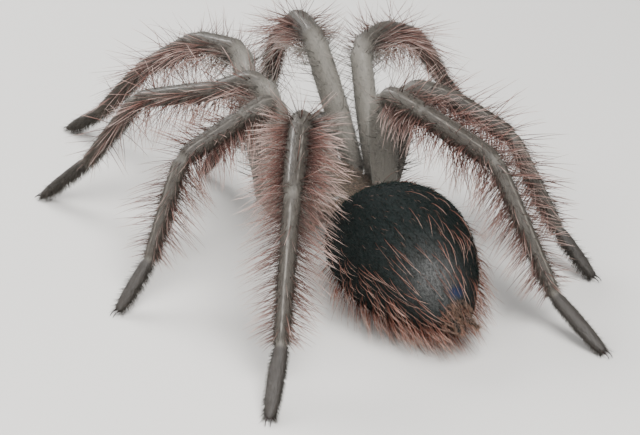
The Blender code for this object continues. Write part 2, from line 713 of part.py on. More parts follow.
def finish(spider):
    """Makes the objects, fuses their locks, and sets the whole over the origin."""
    scene = bpy.context.scene.collection
    root = bpy.data.objects.new("birdeater", None)
    scene.objects.link(root)
    corners = []
    for name, mesh in spider.bodies.items():
        made = to_object(name, mesh, scene)
        if spider.pieces[name]:
            join_pieces(made, spider.pieces[name])
        made.data.materials.clear()
        made.data.materials.append(material(name, spider.finish[name]))
        made.data.shade_smooth()
        made.data.set_sharp_from_angle(angle=math.radians(50))
        made.parent = root
        corners += [vertex.co.copy() for vertex in made.data.vertices]
    low = Vector([min(corner[axis] for corner in corners) for axis in range(3)])
    high = Vector([max(corner[axis] for corner in corners) for axis in range(3)])
    root.location = (-(low.x + high.x) / 2, -(low.y + high.y) / 2, -low.z)


def grow_coat(spider):
    """Grows the bristle locks of legs, palps and abdomen, in one fixed order."""
    draw = random.Random(SEED)
    for side_name in ("left", "right"):
        for pair in (1, 2, 3, 4):
            tag = side_name + "_" + str(pair)
            grow_on_limb(spider, LEG_LOCKS, tag, LEG_WIDTH, LEG_DEPTH, LEG_SCALE[pair], draw)
        grow_on_limb(spider, PALP_LOCKS, side_name, PALP_WIDTH, PALP_DEPTH, 1.0, draw)
    grow_on_abdomen(spider, draw)


def main():
    clear_scene()
    spider = Spider()
    build_carapace(spider)
    build_sternum(spider)
    build_eyes(spider)
    build_jaws(spider)
    for side_name in ("left", "right"):
        build_palp(spider, side_name)
        for pair in (1, 2, 3, 4):
            build_leg(spider, side_name, pair)
    build_abdomen(spider)
    grow_coat(spider)
    finish(spider)


main()
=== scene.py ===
# %% [markdown]
# # A goliath birdeater in bristles
# The solids of this spider already stand in the right pose, with coarse locks for its bristles.
# This lesson dresses them: one smooth hide over legs and body, a carapace plate, jaws, fangs,
# claws and eight eyes, and then the coat, from velvet to long red-brown bristles.
# Lengths are in millimetres while a piece is shaped. They become metres when it is finished.

# %% Load the solids
import json
import math

import bmesh
import bpy
import numpy as np
from mathutils import Matrix, Vector
from mathutils.bvhtree import BVHTree
from mathutils.kdtree import KDTree

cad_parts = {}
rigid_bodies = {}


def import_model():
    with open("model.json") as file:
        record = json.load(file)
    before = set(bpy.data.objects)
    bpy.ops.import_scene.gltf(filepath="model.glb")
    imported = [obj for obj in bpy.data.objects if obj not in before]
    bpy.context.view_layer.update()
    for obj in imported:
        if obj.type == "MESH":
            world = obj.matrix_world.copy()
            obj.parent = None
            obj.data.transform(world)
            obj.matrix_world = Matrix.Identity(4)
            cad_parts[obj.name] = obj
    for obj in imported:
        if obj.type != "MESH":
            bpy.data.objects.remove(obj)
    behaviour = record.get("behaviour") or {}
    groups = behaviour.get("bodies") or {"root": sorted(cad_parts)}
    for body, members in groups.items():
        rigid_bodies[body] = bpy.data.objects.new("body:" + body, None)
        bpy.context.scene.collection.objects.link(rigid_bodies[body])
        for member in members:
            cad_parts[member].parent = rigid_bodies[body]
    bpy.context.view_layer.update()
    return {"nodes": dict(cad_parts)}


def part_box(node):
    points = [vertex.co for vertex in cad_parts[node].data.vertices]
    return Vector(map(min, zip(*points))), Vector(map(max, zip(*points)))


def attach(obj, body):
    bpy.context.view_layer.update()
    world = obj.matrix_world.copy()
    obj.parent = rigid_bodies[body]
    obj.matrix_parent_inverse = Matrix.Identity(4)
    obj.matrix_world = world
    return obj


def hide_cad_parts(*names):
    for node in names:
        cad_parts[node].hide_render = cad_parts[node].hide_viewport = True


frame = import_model()
print("solids:", len(frame["nodes"]), "nodes")

# %% [markdown]
# ## Where the spider stands
# The carapace is the middle of the body, so its box says how far the model was moved when it was
# centred on the floor. Every piece is drawn around the spider's own middle and moved there once.

# %% Middle of the body
MM = 0.001
shell_low, shell_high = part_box("carapace")
body_middle = (shell_low + shell_high) / 2
body_middle.z = 0.0
TO_FRAME = Matrix.Translation(body_middle) @ Matrix.Scale(MM, 4)
print("middle of the body at", [round(v, 5) for v in body_middle])

# %% [markdown]
# ## Camera, floor and light
# The picture looks at the spider from behind and above with a long lens, so the legs nearest to
# the camera aren't blown up. Big soft lamps show the hair: the key high over the abdomen, a rim
# lamp beyond the head that draws pale edges on the bristles, and a weaker fill from its left side.

# %% Set up the studio
PICTURE = (640, 435)
VIEW_TURN = 158.0
VIEW_CLIMB = 27.0
VIEW_DISTANCE = 0.595
VIEW_WIDTH = 16.3
AIM_PIXEL = (325.0, 238.5)
FLOOR_COLOUR = (0.62, 0.60, 0.57, 1.0)
FLOOR_ROUGHNESS = 0.85
FLOOR_HALF = 3.0
SKY_COLOUR = (0.80, 0.86, 0.92, 1.0)
SKY_STRENGTH = 0.35
LAMPS = (
    # name, turn round the body, climb, distance in metres, size in metres, watts
    ("key", 178, 56, 0.75, 0.40, 11.0),
    ("rim", 20, 38, 0.80, 0.50, 9.0),
    ("fill", 125, 22, 0.90, 0.70, 7.0),
)
LAMP_AIM_HEIGHT = 0.02


def away(turn, climb, distance):
    """Offset from the body: turn 0 is straight ahead of the head, and 90 its left side."""
    level = math.cos(math.radians(climb)) * distance
    return Vector((
        math.sin(math.radians(turn)) * level,
        -math.cos(math.radians(turn)) * level,
        math.sin(math.radians(climb)) * distance,
    ))


def look_at(item, spot, target):
    item.location = spot
    item.rotation_euler = (target - spot).to_track_quat("-Z", "Y").to_euler()


scene = bpy.context.scene
lens = bpy.data.cameras.new("camera")
lens.sensor_fit = "HORIZONTAL"
lens.angle = math.radians(VIEW_WIDTH)
lens.shift_x = -(AIM_PIXEL[0] - PICTURE[0] / 2) / PICTURE[0]
lens.shift_y = (AIM_PIXEL[1] - PICTURE[1] / 2) / PICTURE[0]
lens.clip_start = 0.01
camera = bpy.data.objects.new("camera", lens)
scene.collection.objects.link(camera)
look_at(camera, body_middle + away(VIEW_TURN, VIEW_CLIMB, VIEW_DISTANCE), body_middle)
scene.camera = camera

lamp_aim = body_middle + Vector((0, 0, LAMP_AIM_HEIGHT))
for name, turn, climb, distance, size, watts in LAMPS:
    data = bpy.data.lights.new(name, "AREA")
    data.shape = "DISK"
    data.size = size
    data.energy = watts
    lamp = bpy.data.objects.new(name, data)
    scene.collection.objects.link(lamp)
    look_at(lamp, lamp_aim + away(turn, climb, distance), lamp_aim)

world = bpy.data.worlds.new("studio")
world.use_nodes = True
sky = world.node_tree.nodes["Background"].inputs
sky["Color"].default_value = SKY_COLOUR
sky["Strength"].default_value = SKY_STRENGTH
scene.world = world

floor_mesh = bmesh.new()
bmesh.ops.create_grid(floor_mesh, x_segments=1, y_segments=1, size=FLOOR_HALF)
floor_data = bpy.data.meshes.new("floor")
floor_mesh.to_mesh(floor_data)
floor_mesh.free()
floor = bpy.data.objects.new("floor", floor_data)
scene.collection.objects.link(floor)
floor_look = bpy.data.materials.new("floor")
floor_look.use_nodes = True
floor_shader = floor_look.node_tree.nodes["Principled BSDF"].inputs
floor_shader["Base Color"].default_value = FLOOR_COLOUR
floor_shader["Roughness"].default_value = FLOOR_ROUGHNESS
floor_data.materials.append(floor_look)
print("camera", [round(v, 4) for v in camera.location], "lens", round(lens.lens, 1), "mm")

# %% [markdown]
# ## The line of a limb
# A leg is a chain of straight pieces with round bends. Working from its joints keeps the pose
# readable: each piece has a turn, a climb and a length. A ring is one cross-section of the limb,
# and its station says where it is: joint 2 is the knee, and 2.5 the middle of the piece after it.

# %% Directions and rings
DOWN = Vector((0, 0, -1))
UP = Vector((0, 0, 1))
SIDEWAYS = Vector((1, 0, 0))


def aim(turn, climb, side):
    """Unit vector turned outward from straight ahead and climbing above level."""
    level = math.cos(math.radians(climb))
    return Vector((
        side * math.sin(math.radians(turn)) * level,
        -math.cos(math.radians(turn)) * level,
        math.sin(math.radians(climb)),
    ))


def place(ahead, out, height, side):
    return Vector((side * out, -ahead, height))


class Ring:
    """One cross-section: its middle, its heading, its side and top axes, and its station."""

    def __init__(self, middle, heading, across, station):
        self.middle = middle
        self.heading = heading.normalized()
        self.across = (across - self.heading * across.dot(self.heading)).normalized()
        self.up = self.heading.cross(self.across).normalized()
        self.station = station

    def moved(self, distance):
        return Ring(self.middle + self.heading * distance, self.heading, self.across, self.station)

    def matrix(self, half_width, half_depth):
        rows = Matrix((self.across * half_width, self.up * half_depth, self.heading))
        return Matrix.Translation(self.middle) @ rows.transposed().to_4x4()


print("turn 90 on the left side points along", [round(v, 3) for v in aim(90, 0, 1)])


# %% Rings along a limb
RING_SPACING = 1.0
MOST_OF_RUN = 0.46
LEAST_STEP = 0.2


def limb_rings(points, across, radii, spacing=RING_SPACING):
    """Close-set rings along the chain of points, with a round bend at each joint."""
    count = len(points)
    runs = [(points[k + 1] - points[k]).length for k in range(count - 1)]
    reach = [0.0] * count
    for k in range(1, count - 1):
        bend = (points[k] - points[k - 1]).angle(points[k + 1] - points[k])
        longest = MOST_OF_RUN * min(runs[k - 1], runs[k])
        reach[k] = min(radii[k - 1] * math.tan(bend / 2), longest)
    rings = []
    for k in range(count - 1):
        heading = (points[k + 1] - points[k]).normalized()
        straight = runs[k] - reach[k] - reach[k + 1]
        steps = max(2, round(straight / spacing))
        for step in range(steps + 1):
            run = reach[k] + straight * step / steps
            rings.append(Ring(points[k] + heading * run, heading, across[k], k + run / runs[k]))
        if k + 2 == count:
            break
        after = (points[k + 2] - points[k + 1]).normalized()
        bend = heading.angle(after)
        axis = heading.cross(after)
        radius = reach[k + 1] / math.tan(bend / 2)
        centre = rings[-1].middle + axis.normalized().cross(heading) * radius
        pieces = max(3, round(bend * radius / spacing * 1.5))
        for piece in range(1, pieces):
            share = piece / pieces
            turn = Matrix.Rotation(bend * share, 3, axis)
            middle = centre + turn @ (points[k + 1] - heading * reach[k + 1] - centre)
            length = runs[k] if share < 0.5 else runs[k + 1]
            station = k + 1 + (share * 2 - 1) * reach[k + 1] / length
            blend = across[k] * (1 - share) + across[k + 1] * share
            rings.append(Ring(middle, turn @ heading, blend, station))
        rings.append(Ring(points[k + 1] + after * reach[k + 1], after, across[k + 1],
                          k + 1 + reach[k + 1] / runs[k + 1]))
    kept = rings[:1]
    for ring in rings[1:]:
        if (ring.middle - kept[-1].middle).length > LEAST_STEP:
            kept.append(ring)
    return kept


bent_line = [Vector((0, 0, 0)), Vector((10, 0, 0)), Vector((10, 10, 0))]
print("rings along a bent line of 20 mm:", len(limb_rings(bent_line, [UP] * 2, (3.0,))))

# %% [markdown]
# ## The legs' pose and thickness
# The pose puts the knees high and the feet flat on the floor, as the picture shows. The thickness
# table follows a leg from its inner end: a stout thigh, a knee piece and shin of even girth, and a
# slim instep with a rounded toe.

# %% Leg values
LEG_LENGTHS = {
    1: (39, 16, 27, 24, 16),
    2: (37, 16, 24, 27, 20),
    3: (33, 11, 19, 27, 15),
    4: (33, 14, 26, 36, 19),
}
LEG_ROOTS = {1: (9.6, 13.2), 2: (3.0, 15.7), 3: (-4.3, 15.6), 4: (-11.0, 12.6)}
INNER_TURN = {0: 25, 1: 52, 2: 78, 3: 104, 4: 137}
ROOT_HEIGHT = 11.5
TIP_HEIGHT = 1.0
LEG_POSE = {
    # turns of thigh, shin and foot, then climbs of thigh, knee, shin and toe
    ("left", 1): (-5, 28, 28, 54, -3, -34, -34),
    ("left", 2): (50, 46, 43, 92, -24, -15, -42),
    ("left", 3): (95, 104, 112, 91, -14, -18, -45),
    ("left", 4): (175, 155, 149, 78, 15, -10, -32),
    ("right", 1): (-20, 5, 5, 64, 0, -35, -35),
    ("right", 2): (6, 48, 50, 66, -2, -24, -46),
    ("right", 3): (140, 128, 148, 80, -7, -28, -44),
    ("right", 4): (130, 159, 160, 92, -5, -10, -28),
}
LEG_WIDTH = (
    (0.0, 2.2), (0.5, 3.9), (0.85, 4.8), (1.0, 4.8), (1.2, 5.0), (1.5, 5.6), (1.8, 5.5),
    (2.0, 5.2), (2.5, 5.6), (3.0, 4.8), (3.3, 5.2), (3.8, 4.9), (4.0, 4.0), (4.3, 4.0),
    (4.85, 3.5), (5.0, 3.1), (5.3, 3.8), (5.75, 3.6), (6.0, 2.4),
)
LEG_DEPTH = (
    (0.0, 4.2), (0.5, 4.9), (0.85, 4.9), (1.0, 4.9), (1.2, 6.0), (1.5, 7.2), (1.8, 6.8),
    (2.0, 5.7), (2.5, 5.6), (3.0, 4.8), (3.3, 5.2), (3.8, 4.8), (4.0, 3.9), (4.3, 3.9),
    (4.85, 3.4), (5.0, 3.0), (5.3, 3.3), (5.75, 3.0), (6.0, 2.2),
)
LEG_SCALE = {1: 1.18, 2: 1.14, 3: 1.12, 4: 1.18}
BEND_RADIUS = (4.0, 5.0, 9.0, 9.0, 9.0)
STERNUM_HALF = (7.5, 4.6)
SOLID_GAP = 0.3
PALP_LENGTHS = (16, 8.5, 12, 13)
PALP_ROOT = (13.4, 8.6)
PALP_POSE = {"left": (10, 16, 42, -8, -48), "right": (6, 10, 46, -12, -44)}
PALP_WIDTH = ((0.0, 2.2), (0.6, 3.3), (1.0, 3.7), (1.5, 4.2), (2.0, 3.9), (2.5, 4.2),
              (3.0, 3.8), (3.5, 4.0), (4.0, 3.5), (4.6, 4.0), (5.0, 2.2))
PALP_DEPTH = ((0.0, 3.4), (0.6, 4.0), (1.0, 3.8), (1.5, 4.6), (2.0, 4.0), (2.5, 4.1),
              (3.0, 3.8), (3.5, 4.0), (4.0, 3.4), (4.6, 3.4), (5.0, 2.0))
PALP_BEND_RADIUS = (3.4, 4.0, 6.0, 6.0)
SIDES = {"left": 1, "right": -1}
print("legs of", [sum(lengths) for lengths in LEG_LENGTHS.values()], "mm from hip to toe")

# %% [markdown]
# ## From a pose to points
# The toes have to stand on the floor whatever the pose, so one angle isn't given but worked out:
# the instep takes the slope that brings the toe down to its height.

# %% Points of a limb
INNER_DROP = 0.8
PALP_INNER_DROP = 1.0


def inner_end(pair, side):
    """Where a limb leaves the rim of the breastplate."""
    turn = math.radians(INNER_TURN[pair])
    ahead = STERNUM_HALF[0] * math.cos(turn)
    out = STERNUM_HALF[1] * math.sin(turn)
    grow = 1 + 2 * SOLID_GAP / math.hypot(ahead, out)
    return place(ahead * grow, out * grow, ROOT_HEIGHT - INNER_DROP, side)


def leg_line(pair, side_name):
    side = SIDES[side_name]
    thigh_turn, shin_turn, foot_turn, thigh, knee, shin, toe = LEG_POSE[side_name, pair]
    lengths = LEG_LENGTHS[pair]
    ahead, out = LEG_ROOTS[pair]
    points = [inner_end(pair, side), place(ahead, out, ROOT_HEIGHT, side)]
    drop = ROOT_HEIGHT - TIP_HEIGHT
    for k, climb in ((0, thigh), (1, knee), (2, shin), (4, toe)):
        drop += lengths[k] * math.sin(math.radians(climb))
    instep = -math.degrees(math.asin(min(1.0, drop / lengths[3])))
    turns = (thigh_turn, shin_turn, shin_turn, foot_turn, foot_turn)
    for length, turn, climb in zip(lengths, turns, (thigh, knee, shin, instep, toe)):
        points.append(points[-1] + aim(turn, climb, side) * length)
    across = [-DOWN.cross(points[1] - points[0]).normalized()]
    across += [-DOWN.cross(aim(turn, 0, side)).normalized() for turn in turns]
    return points, across


def palp_line(side_name):
    side = SIDES[side_name]
    thigh_turn, shin_turn, thigh, knee, shin = PALP_POSE[side_name]
    root = place(PALP_ROOT[0], PALP_ROOT[1], ROOT_HEIGHT - INNER_DROP, side)
    points = [inner_end(0, side) + DOWN * PALP_INNER_DROP, root]
    climbs = (thigh, knee, shin)
    for length, turn, climb in zip(PALP_LENGTHS, (thigh_turn, shin_turn, shin_turn), climbs):
        points.append(points[-1] + aim(turn, climb, side) * length)
    toe = -math.degrees(math.asin(min(1.0, (points[-1].z - TIP_HEIGHT) / PALP_LENGTHS[3])))
    points.append(points[-1] + aim(shin_turn, toe, side) * PALP_LENGTHS[3])
    across = [-DOWN.cross(root - points[0]).normalized()]
    across += [-DOWN.cross(aim(turn, 0, side)).normalized()
               for turn in (thigh_turn, shin_turn, shin_turn, shin_turn)]
    return points, across


print("the left hind toe is at", [round(v, 1) for v in leg_line(4, "left")[0][-1]], "mm")

# %% [markdown]
# ## A limb as a smooth tube
# A tube can be swept with a curve object or extruded ring by ring. Extruding keeps hold of every
# ring, so the joints get their own creases and rims, and the hair can later be rooted by station.
# The hide lies a little inside the solid, because the short coat fills the space between.

# %% Sweep a limb
SKIN_DEPTH = 0.35
CREASE_DEPTH = 0.13
CREASE_RUN = 0.8
RIM_SWELL = 0.05
RIM_RUN = 1.1
RIM_OFFSET = 1.9
TIP_ROUND = 0.9
TIP_ANGLES = (0, 22, 44, 64, 80)
ROOT_SINK = 3.0
ROOT_NARROW = 0.8
EASE_WEIGHTS = (0.1, 0.22, 0.36, 0.22, 0.1)


def ring_table(table, stations, scale):
    """Half sizes of the skin at each station, with the table's corners rounded off."""
    keys, values = zip(*table)
    sizes = np.interp(stations, keys, values) * scale / 2 - SKIN_DEPTH
    padded = np.pad(sizes, 2, mode="edge")
    return np.convolve(padded, EASE_WEIGHTS, mode="valid")


class Limb:
    """Rings of a limb as arrays, with the skin's half width and half depth at each ring."""

    def __init__(self, name, rings, widths, depths, scale, joints, number):
        self.name = name
        self.rings = rings
        self.number = number
        self.station = np.array([ring.station for ring in rings])
        self.middle = np.array([ring.middle for ring in rings])
        self.across = np.array([ring.across for ring in rings])
        self.up = np.array([ring.up for ring in rings])
        self.heading = np.array([ring.heading for ring in rings])
        steps = np.linalg.norm(np.diff(self.middle, axis=0), axis=1)
        self.arc = np.concatenate(([0.0], np.cumsum(steps)))
        self.joint_arc = {k: float(np.interp(k, self.station, self.arc)) for k in joints}
        shape = np.ones(len(rings))
        for spot in self.joint_arc.values():
            shape -= CREASE_DEPTH * np.exp(-((self.arc - spot) / CREASE_RUN) ** 2)
            for side in (-1, 1):
                run = (self.arc - spot - side * RIM_OFFSET) / RIM_RUN
                shape += RIM_SWELL * np.exp(-run ** 2)
        self.half_width = ring_table(widths, self.station, scale) * shape
        self.half_depth = ring_table(depths, self.station, scale) * shape

    def frames(self):
        """Matrices from the sunk root to the rounded tip."""
        first = self.rings[0].moved(-ROOT_SINK)
        made = [first.matrix(self.half_width[0] * ROOT_NARROW, self.half_depth[0] * ROOT_NARROW)]
        for ring, width, depth in zip(self.rings[:-1], self.half_width, self.half_depth):
            made.append(ring.matrix(width, depth))
        last = self.rings[-1].moved(-TIP_ROUND)
        width, depth = self.half_width[-1], self.half_depth[-1]
        if (last.middle - self.rings[-2].middle).dot(last.heading) < 0.1:
            made.pop()
        for angle in TIP_ANGLES:
            size = math.cos(math.radians(angle))
            run = TIP_ROUND * math.sin(math.radians(angle))
            made.append(last.moved(run).matrix(width * size, depth * size))
        return made

    def at(self, arcs, name):
        """Values of one of the ring arrays at any arc lengths."""
        values = getattr(self, name)
        if values.ndim == 1:
            return np.interp(arcs, self.arc, values)
        return np.stack([np.interp(arcs, self.arc, values[:, k]) for k in range(3)], axis=1)


print("half widths along a thigh:", ring_table(LEG_WIDTH, (1.0, 1.5, 2.0), 1.0).round(2), "mm")

# %% [markdown]
# ## Extruding through frames
# A frame is a matrix that says where a cross-section lies and how wide and deep it is. One face is
# extruded from frame to frame, so any tapered form on a line comes from the same few lines.

# %% Loft and limbs
LIMB_SIDES = 22


def extrude_on(mesh, face, keep):
    grown = bmesh.ops.extrude_face_region(mesh, geom=[face])["geom"]
    if not keep:
        bmesh.ops.delete(mesh, geom=[face], context="FACES_ONLY")
    return next(item for item in grown if isinstance(item, bmesh.types.BMFace))


def loft(frames, sides, shape=None, point=None):
    """Extrudes a circle through the frames, and to a point at the end if one is given."""
    mesh = bmesh.new()
    start = bmesh.ops.create_circle(mesh, cap_ends=True, radius=1.0, segments=sides)
    if shape:
        for vertex in start["verts"]:
            vertex.co = shape(vertex.co)
    bmesh.ops.transform(mesh, matrix=frames[0], verts=start["verts"])
    face = mesh.faces[:][0]
    for number in range(1, len(frames)):
        face = extrude_on(mesh, face, keep=number == 1)
        step = frames[number] @ frames[number - 1].inverted()
        bmesh.ops.transform(mesh, matrix=step, verts=face.verts)
    if point is not None:
        face = extrude_on(mesh, face, keep=False)
        bmesh.ops.pointmerge(mesh, verts=face.verts, merge_co=point)
    bmesh.ops.recalc_face_normals(mesh, faces=mesh.faces)
    return mesh


limbs = []
for side_name in ("left", "right"):
    for pair in (1, 2, 3, 4):
        points, across = leg_line(pair, side_name)
        rings = limb_rings(points, across, BEND_RADIUS)
        limbs.append(Limb("leg_" + side_name + "_" + str(pair), rings, LEG_WIDTH, LEG_DEPTH,
                          LEG_SCALE[pair], (1, 2, 3, 4, 5), len(limbs)))
palps = []
for side_name in ("left", "right"):
    points, across = palp_line(side_name)
    rings = limb_rings(points, across, PALP_BEND_RADIUS)
    palps.append(Limb("palp_" + side_name, rings, PALP_WIDTH, PALP_DEPTH, 1.0,
                      (1, 2, 3, 4), len(limbs) + len(palps)))
for limb in limbs + palps:
    print(limb.name, len(limb.rings), "rings,", round(limb.arc[-1], 1), "mm long")

# %% [markdown]
# ## The body under the plate
# A spider's belly side is a breastplate with the legs' bases round it. A narrow waist leads to the
# abdomen, an egg that hangs low at its rear. Each is swept from its own few sizes, and sunk into
# its neighbour so that all of them can be fused into one hide.

# %% Body sizes and shapes
CARAPACE_BASE = ROOT_HEIGHT + 4.2
STERNUM_BOTTOM = ROOT_HEIGHT - 4.4
STERNUM_TOP = ROOT_HEIGHT + 3.1
CORE_LEVELS = (
    # height, half length ahead, half width, shift ahead
    (STERNUM_BOTTOM + 0.3, 5.0, 3.0, 0.0), (STERNUM_BOTTOM + 0.8, 6.6, 4.0, 0.0),
    (STERNUM_BOTTOM + 1.8, 7.1, 4.5, 0.0), (ROOT_HEIGHT, 7.3, 5.0, 0.0),
    (STERNUM_TOP - 0.4, 10.0, 7.4, 0.0), (CARAPACE_BASE - 0.4, 11.8, 9.4, 0.2),
    (CARAPACE_BASE + 0.9, 11.9, 9.6, 0.2),
)
CORE_SIDES = 40
ABDOMEN_FRONT = (-18.6, 14.2)
ABDOMEN_TURN = 6
ABDOMEN_LENGTH = 52.5
ABDOMEN_HALF_WIDTH = 17.6
ABDOMEN_HALF_HEIGHT = 16.6
ABDOMEN_MIDDLE_HEIGHT = 17.1
ABDOMEN_REAR_HEIGHT = 11.0
ABDOMEN_FRONT_CAP = 0.16
ABDOMEN_REAR_CAP = 0.24
ABDOMEN_SWELL_START = 0.045
ABDOMEN_SWELL_SPAN = 0.91
ABDOMEN_SWELL_SKEW = 0.93
ABDOMEN_FULLNESS = 0.72
ABDOMEN_FRONT_RISE = 0.45
ABDOMEN_SKIN_DEPTH = 0.5
ABDOMEN_SIDES = 56
ABDOMEN_RINGS = 54
WAIST_WIDTH = ((0.0, 3.4), (1.0, 2.8), (2.0, 3.0), (3.0, 4.0))
WAIST_FRONT_RUN = 4.5
WAIST_REAR_RUN = 2.2
WAIST_DROP = 0.2
WAIST_SIDES = 18
SPINNERET_LENGTH = 5.0
SPINNERET_WIDTH = 2.5
SPINNERET_OUT = 1.7
SPINNERET_SPLAY = 0.3
SPINNERET_DROP = 0.2
SPINNERET_BEND = 5.0
SPINNERET_SPACING = 0.7
SPINNERET_SIDES = 14
BACK = aim(180 - ABDOMEN_TURN, 0, -1)
ABDOMEN_ACROSS = UP.cross(BACK)
print("abdomen", ABDOMEN_LENGTH, "mm long and", 2 * ABDOMEN_HALF_WIDTH, "mm wide")


# %% Build the body
def abdomen_frame(share, inset=0.0):
    """Frame of the abdomen's cross-section at a share of the way from its front to its rear."""
    run = (ABDOMEN_SWELL_START + ABDOMEN_SWELL_SPAN * share) ** ABDOMEN_SWELL_SKEW
    swell = math.sin(math.pi * run) ** ABDOMEN_FULLNESS
    size = max(swell, ABDOMEN_FRONT_CAP if share < 0.5 else ABDOMEN_REAR_CAP)
    middle = place(ABDOMEN_FRONT[0], 0, 0, 1) + BACK * ABDOMEN_LENGTH * share
    ease = 0.5 - 0.5 * math.cos(math.pi * min(1.0, share / ABDOMEN_FRONT_RISE))
    height = ABDOMEN_FRONT[1] + (ABDOMEN_MIDDLE_HEIGHT - ABDOMEN_FRONT[1]) * ease
    fall = max(0.0, share - 0.5) / 0.5
    middle.z = height + (ABDOMEN_REAR_HEIGHT - ABDOMEN_MIDDLE_HEIGHT) * fall * fall
    width = ABDOMEN_HALF_WIDTH * size - inset
    depth = ABDOMEN_HALF_HEIGHT * size - inset
    axes = Matrix((ABDOMEN_ACROSS * width, UP * depth, BACK)).transposed()
    return Matrix.Translation(middle) @ axes.to_4x4()


def build_core():
    frames = []
    for height, length, width, ahead in CORE_LEVELS:
        flat = Matrix.Diagonal((width, length, 1.0, 1.0))
        frames.append(Matrix.Translation((0, -ahead, height)) @ flat)
    return loft(frames, CORE_SIDES)


def build_waist():
    front = abdomen_frame(0.0).translation
    start = place(-STERNUM_HALF[0] + ROOT_SINK, 0, ROOT_HEIGHT - WAIST_DROP, 1)
    end = front + BACK * ROOT_SINK
    points = [start, start + Vector((0, WAIST_FRONT_RUN + ROOT_SINK, 0)),
              end - BACK * (WAIST_REAR_RUN + ROOT_SINK), end]
    rings = limb_rings(points, [SIDEWAYS] * 3, (4.0, 4.0))
    frames = []
    for ring in rings:
        half = np.interp(ring.station, *zip(*WAIST_WIDTH)) / 2
        frames.append(ring.matrix(half, half))
    return loft(frames, WAIST_SIDES)


def build_abdomen():
    shares = [0.5 - 0.5 * math.cos(math.pi * k / ABDOMEN_RINGS) for k in range(ABDOMEN_RINGS + 1)]
    frames = [abdomen_frame(share, ABDOMEN_SKIN_DEPTH) for share in shares]
    return loft(frames, ABDOMEN_SIDES)


def spinneret_rings(side):
    out = ABDOMEN_ACROSS * -side
    base = abdomen_frame(1.0).translation + BACK * SOLID_GAP + out * SPINNERET_OUT
    middle = base + BACK * SPINNERET_LENGTH * 0.45
    spread = BACK + out * SPINNERET_SPLAY + DOWN * SPINNERET_DROP
    tip = middle + spread * SPINNERET_LENGTH * 0.55
    return limb_rings([base - BACK * ROOT_SINK, middle, tip], [SIDEWAYS] * 2, (SPINNERET_BEND,),
                      SPINNERET_SPACING)


def build_spinneret(side):
    """Three short segments that narrow to a blunt tip."""
    frames = []
    rings = spinneret_rings(side)
    for number, ring in enumerate(rings):
        share = number / (len(rings) - 1)
        half = SPINNERET_WIDTH / 2 * (1 - 0.55 * share) * (1 + 0.1 * math.cos(share * 19)) - 0.1
        frames.append(ring.matrix(half, half))
    frames.append(rings[-1].moved(0.35).matrix(half * 0.5, half * 0.5))
    return loft(frames, SPINNERET_SIDES)


# %% [markdown]
# ## One hide
# The legs, palps, body, waist, abdomen and spinnerets are fused by one exact union, so no seam
# shows where a leg leaves the body. Each vertex then learns where it lies on a straightened
# limb: that place steers the markings and the painted light, for the hide and the coat alike.

# %% Markings and painted light shared by hide and coat
PALE_LINE_TURN = 27.0
PALE_LINE_HALF = 7.5
# The middle line along the top: a pale stripe on the thigh, and on the instep partly a bare glossy
# strip and partly a painted highlight
MIDDLE_LINE_HALF = 12.0
LINE_EDGE = 0.15
TWIN_STRENGTH = 0.62
THIGH_STRENGTH = 0.6
INSTEP_STRENGTH = 0.85
PALP_STRENGTH = 0.6
# How grey-green and pale the leg is at a station: thighs most, from the hip to the knee,
# partly by their own colour and partly as painted light
PALE_AND_PAINTED_LIGHT_ALONG = ((1.9, 1.0), (2.15, 0.12), (2.9, 0.08), (3.1, 0.0),
              (3.9, 0.0), (4.1, 0.1), (4.9, 0.1), (5.1, 0.0))
JOINT_RINGS = (
    # joint, half width along the leg, strength
    (2.0, 0.08, 0.3), (3.0, 0.08, 0.25), (4.0, 0.06, 0.4), (5.0, 0.06, 0.75),
)
TOE_SHADE = 0.8
TOE_START_LEFT = 1.02
TOE_TIP_LEFT = 0.3
# A patch of worn velvet on the abdomen, with a painted grey sheen on its hide and hair
WORN_AND_SHEEN_MIDDLE = (-1.8, 66.0, 20.6)
WORN_AND_SHEEN_REACH = (6.3, 7.5, 7.5)
# A bald spot in the patch: bare skin with a painted blue sheen
BALD_BLUE_SHEEN_MIDDLE = (-6.0, 68.6, 16.9)
BALD_BLUE_SHEEN_REACH = (2.1, 1.75, 1.6)


def bump_at(value, middle, half):
    """1 about the middle, falling to 0 at half a width away and beyond."""
    return np.clip((1 - np.abs(value - middle) / half) / (1 - LINE_EDGE), 0, 1)


def span_at(value, start, stop, edge):
    return np.clip((value - start) / edge, 0, 1) * np.clip((stop - value) / edge, 0, 1)


def line_spans(station):
    """How strong the twin lines and the middle line are (0 to 1) at a station along the leg."""
    knee_piece = span_at(station, 2.1, 2.96, 0.05)
    shin = span_at(station, 3.06, 3.93, 0.06)
    thigh = span_at(station, 1.2, 1.95, 0.08) * THIGH_STRENGTH
    # On the instep the middle line is partly a bare strip and partly a painted highlight
    instep = span_at(station, 4.05, 4.95, 0.06) * INSTEP_STRENGTH
    return np.maximum(knee_piece, shin) * TWIN_STRENGTH, np.maximum(thigh, instep)


def worn_at(spots, middle=WORN_AND_SHEEN_MIDDLE, reach=WORN_AND_SHEEN_REACH):
    """How worn the velvet is, with the painted grey sheen on it (0 to 1), at spots in millimetres.
    """
    offset = (spots - middle) / reach
    return np.exp(-np.einsum("ij,ij->i", offset, offset))


def bald_at(spots):
    """Where the velvet is rubbed off and bare skin shows, with a painted blue sheen (0 to 1)."""
    return worn_at(spots, BALD_BLUE_SHEEN_MIDDLE, BALD_BLUE_SHEEN_REACH)


def toe_tip(limb, station):
    """How dark the toe is (0 to 1) at a station: shaded along its length, darkest at its tip."""
    left = limb.station[-1] - station
    tip = np.clip((TOE_TIP_LEFT - left) / 0.25, 0, 1)
    return np.maximum(tip, TOE_SHADE * np.clip((TOE_START_LEFT - left) / 0.05, 0, 1))


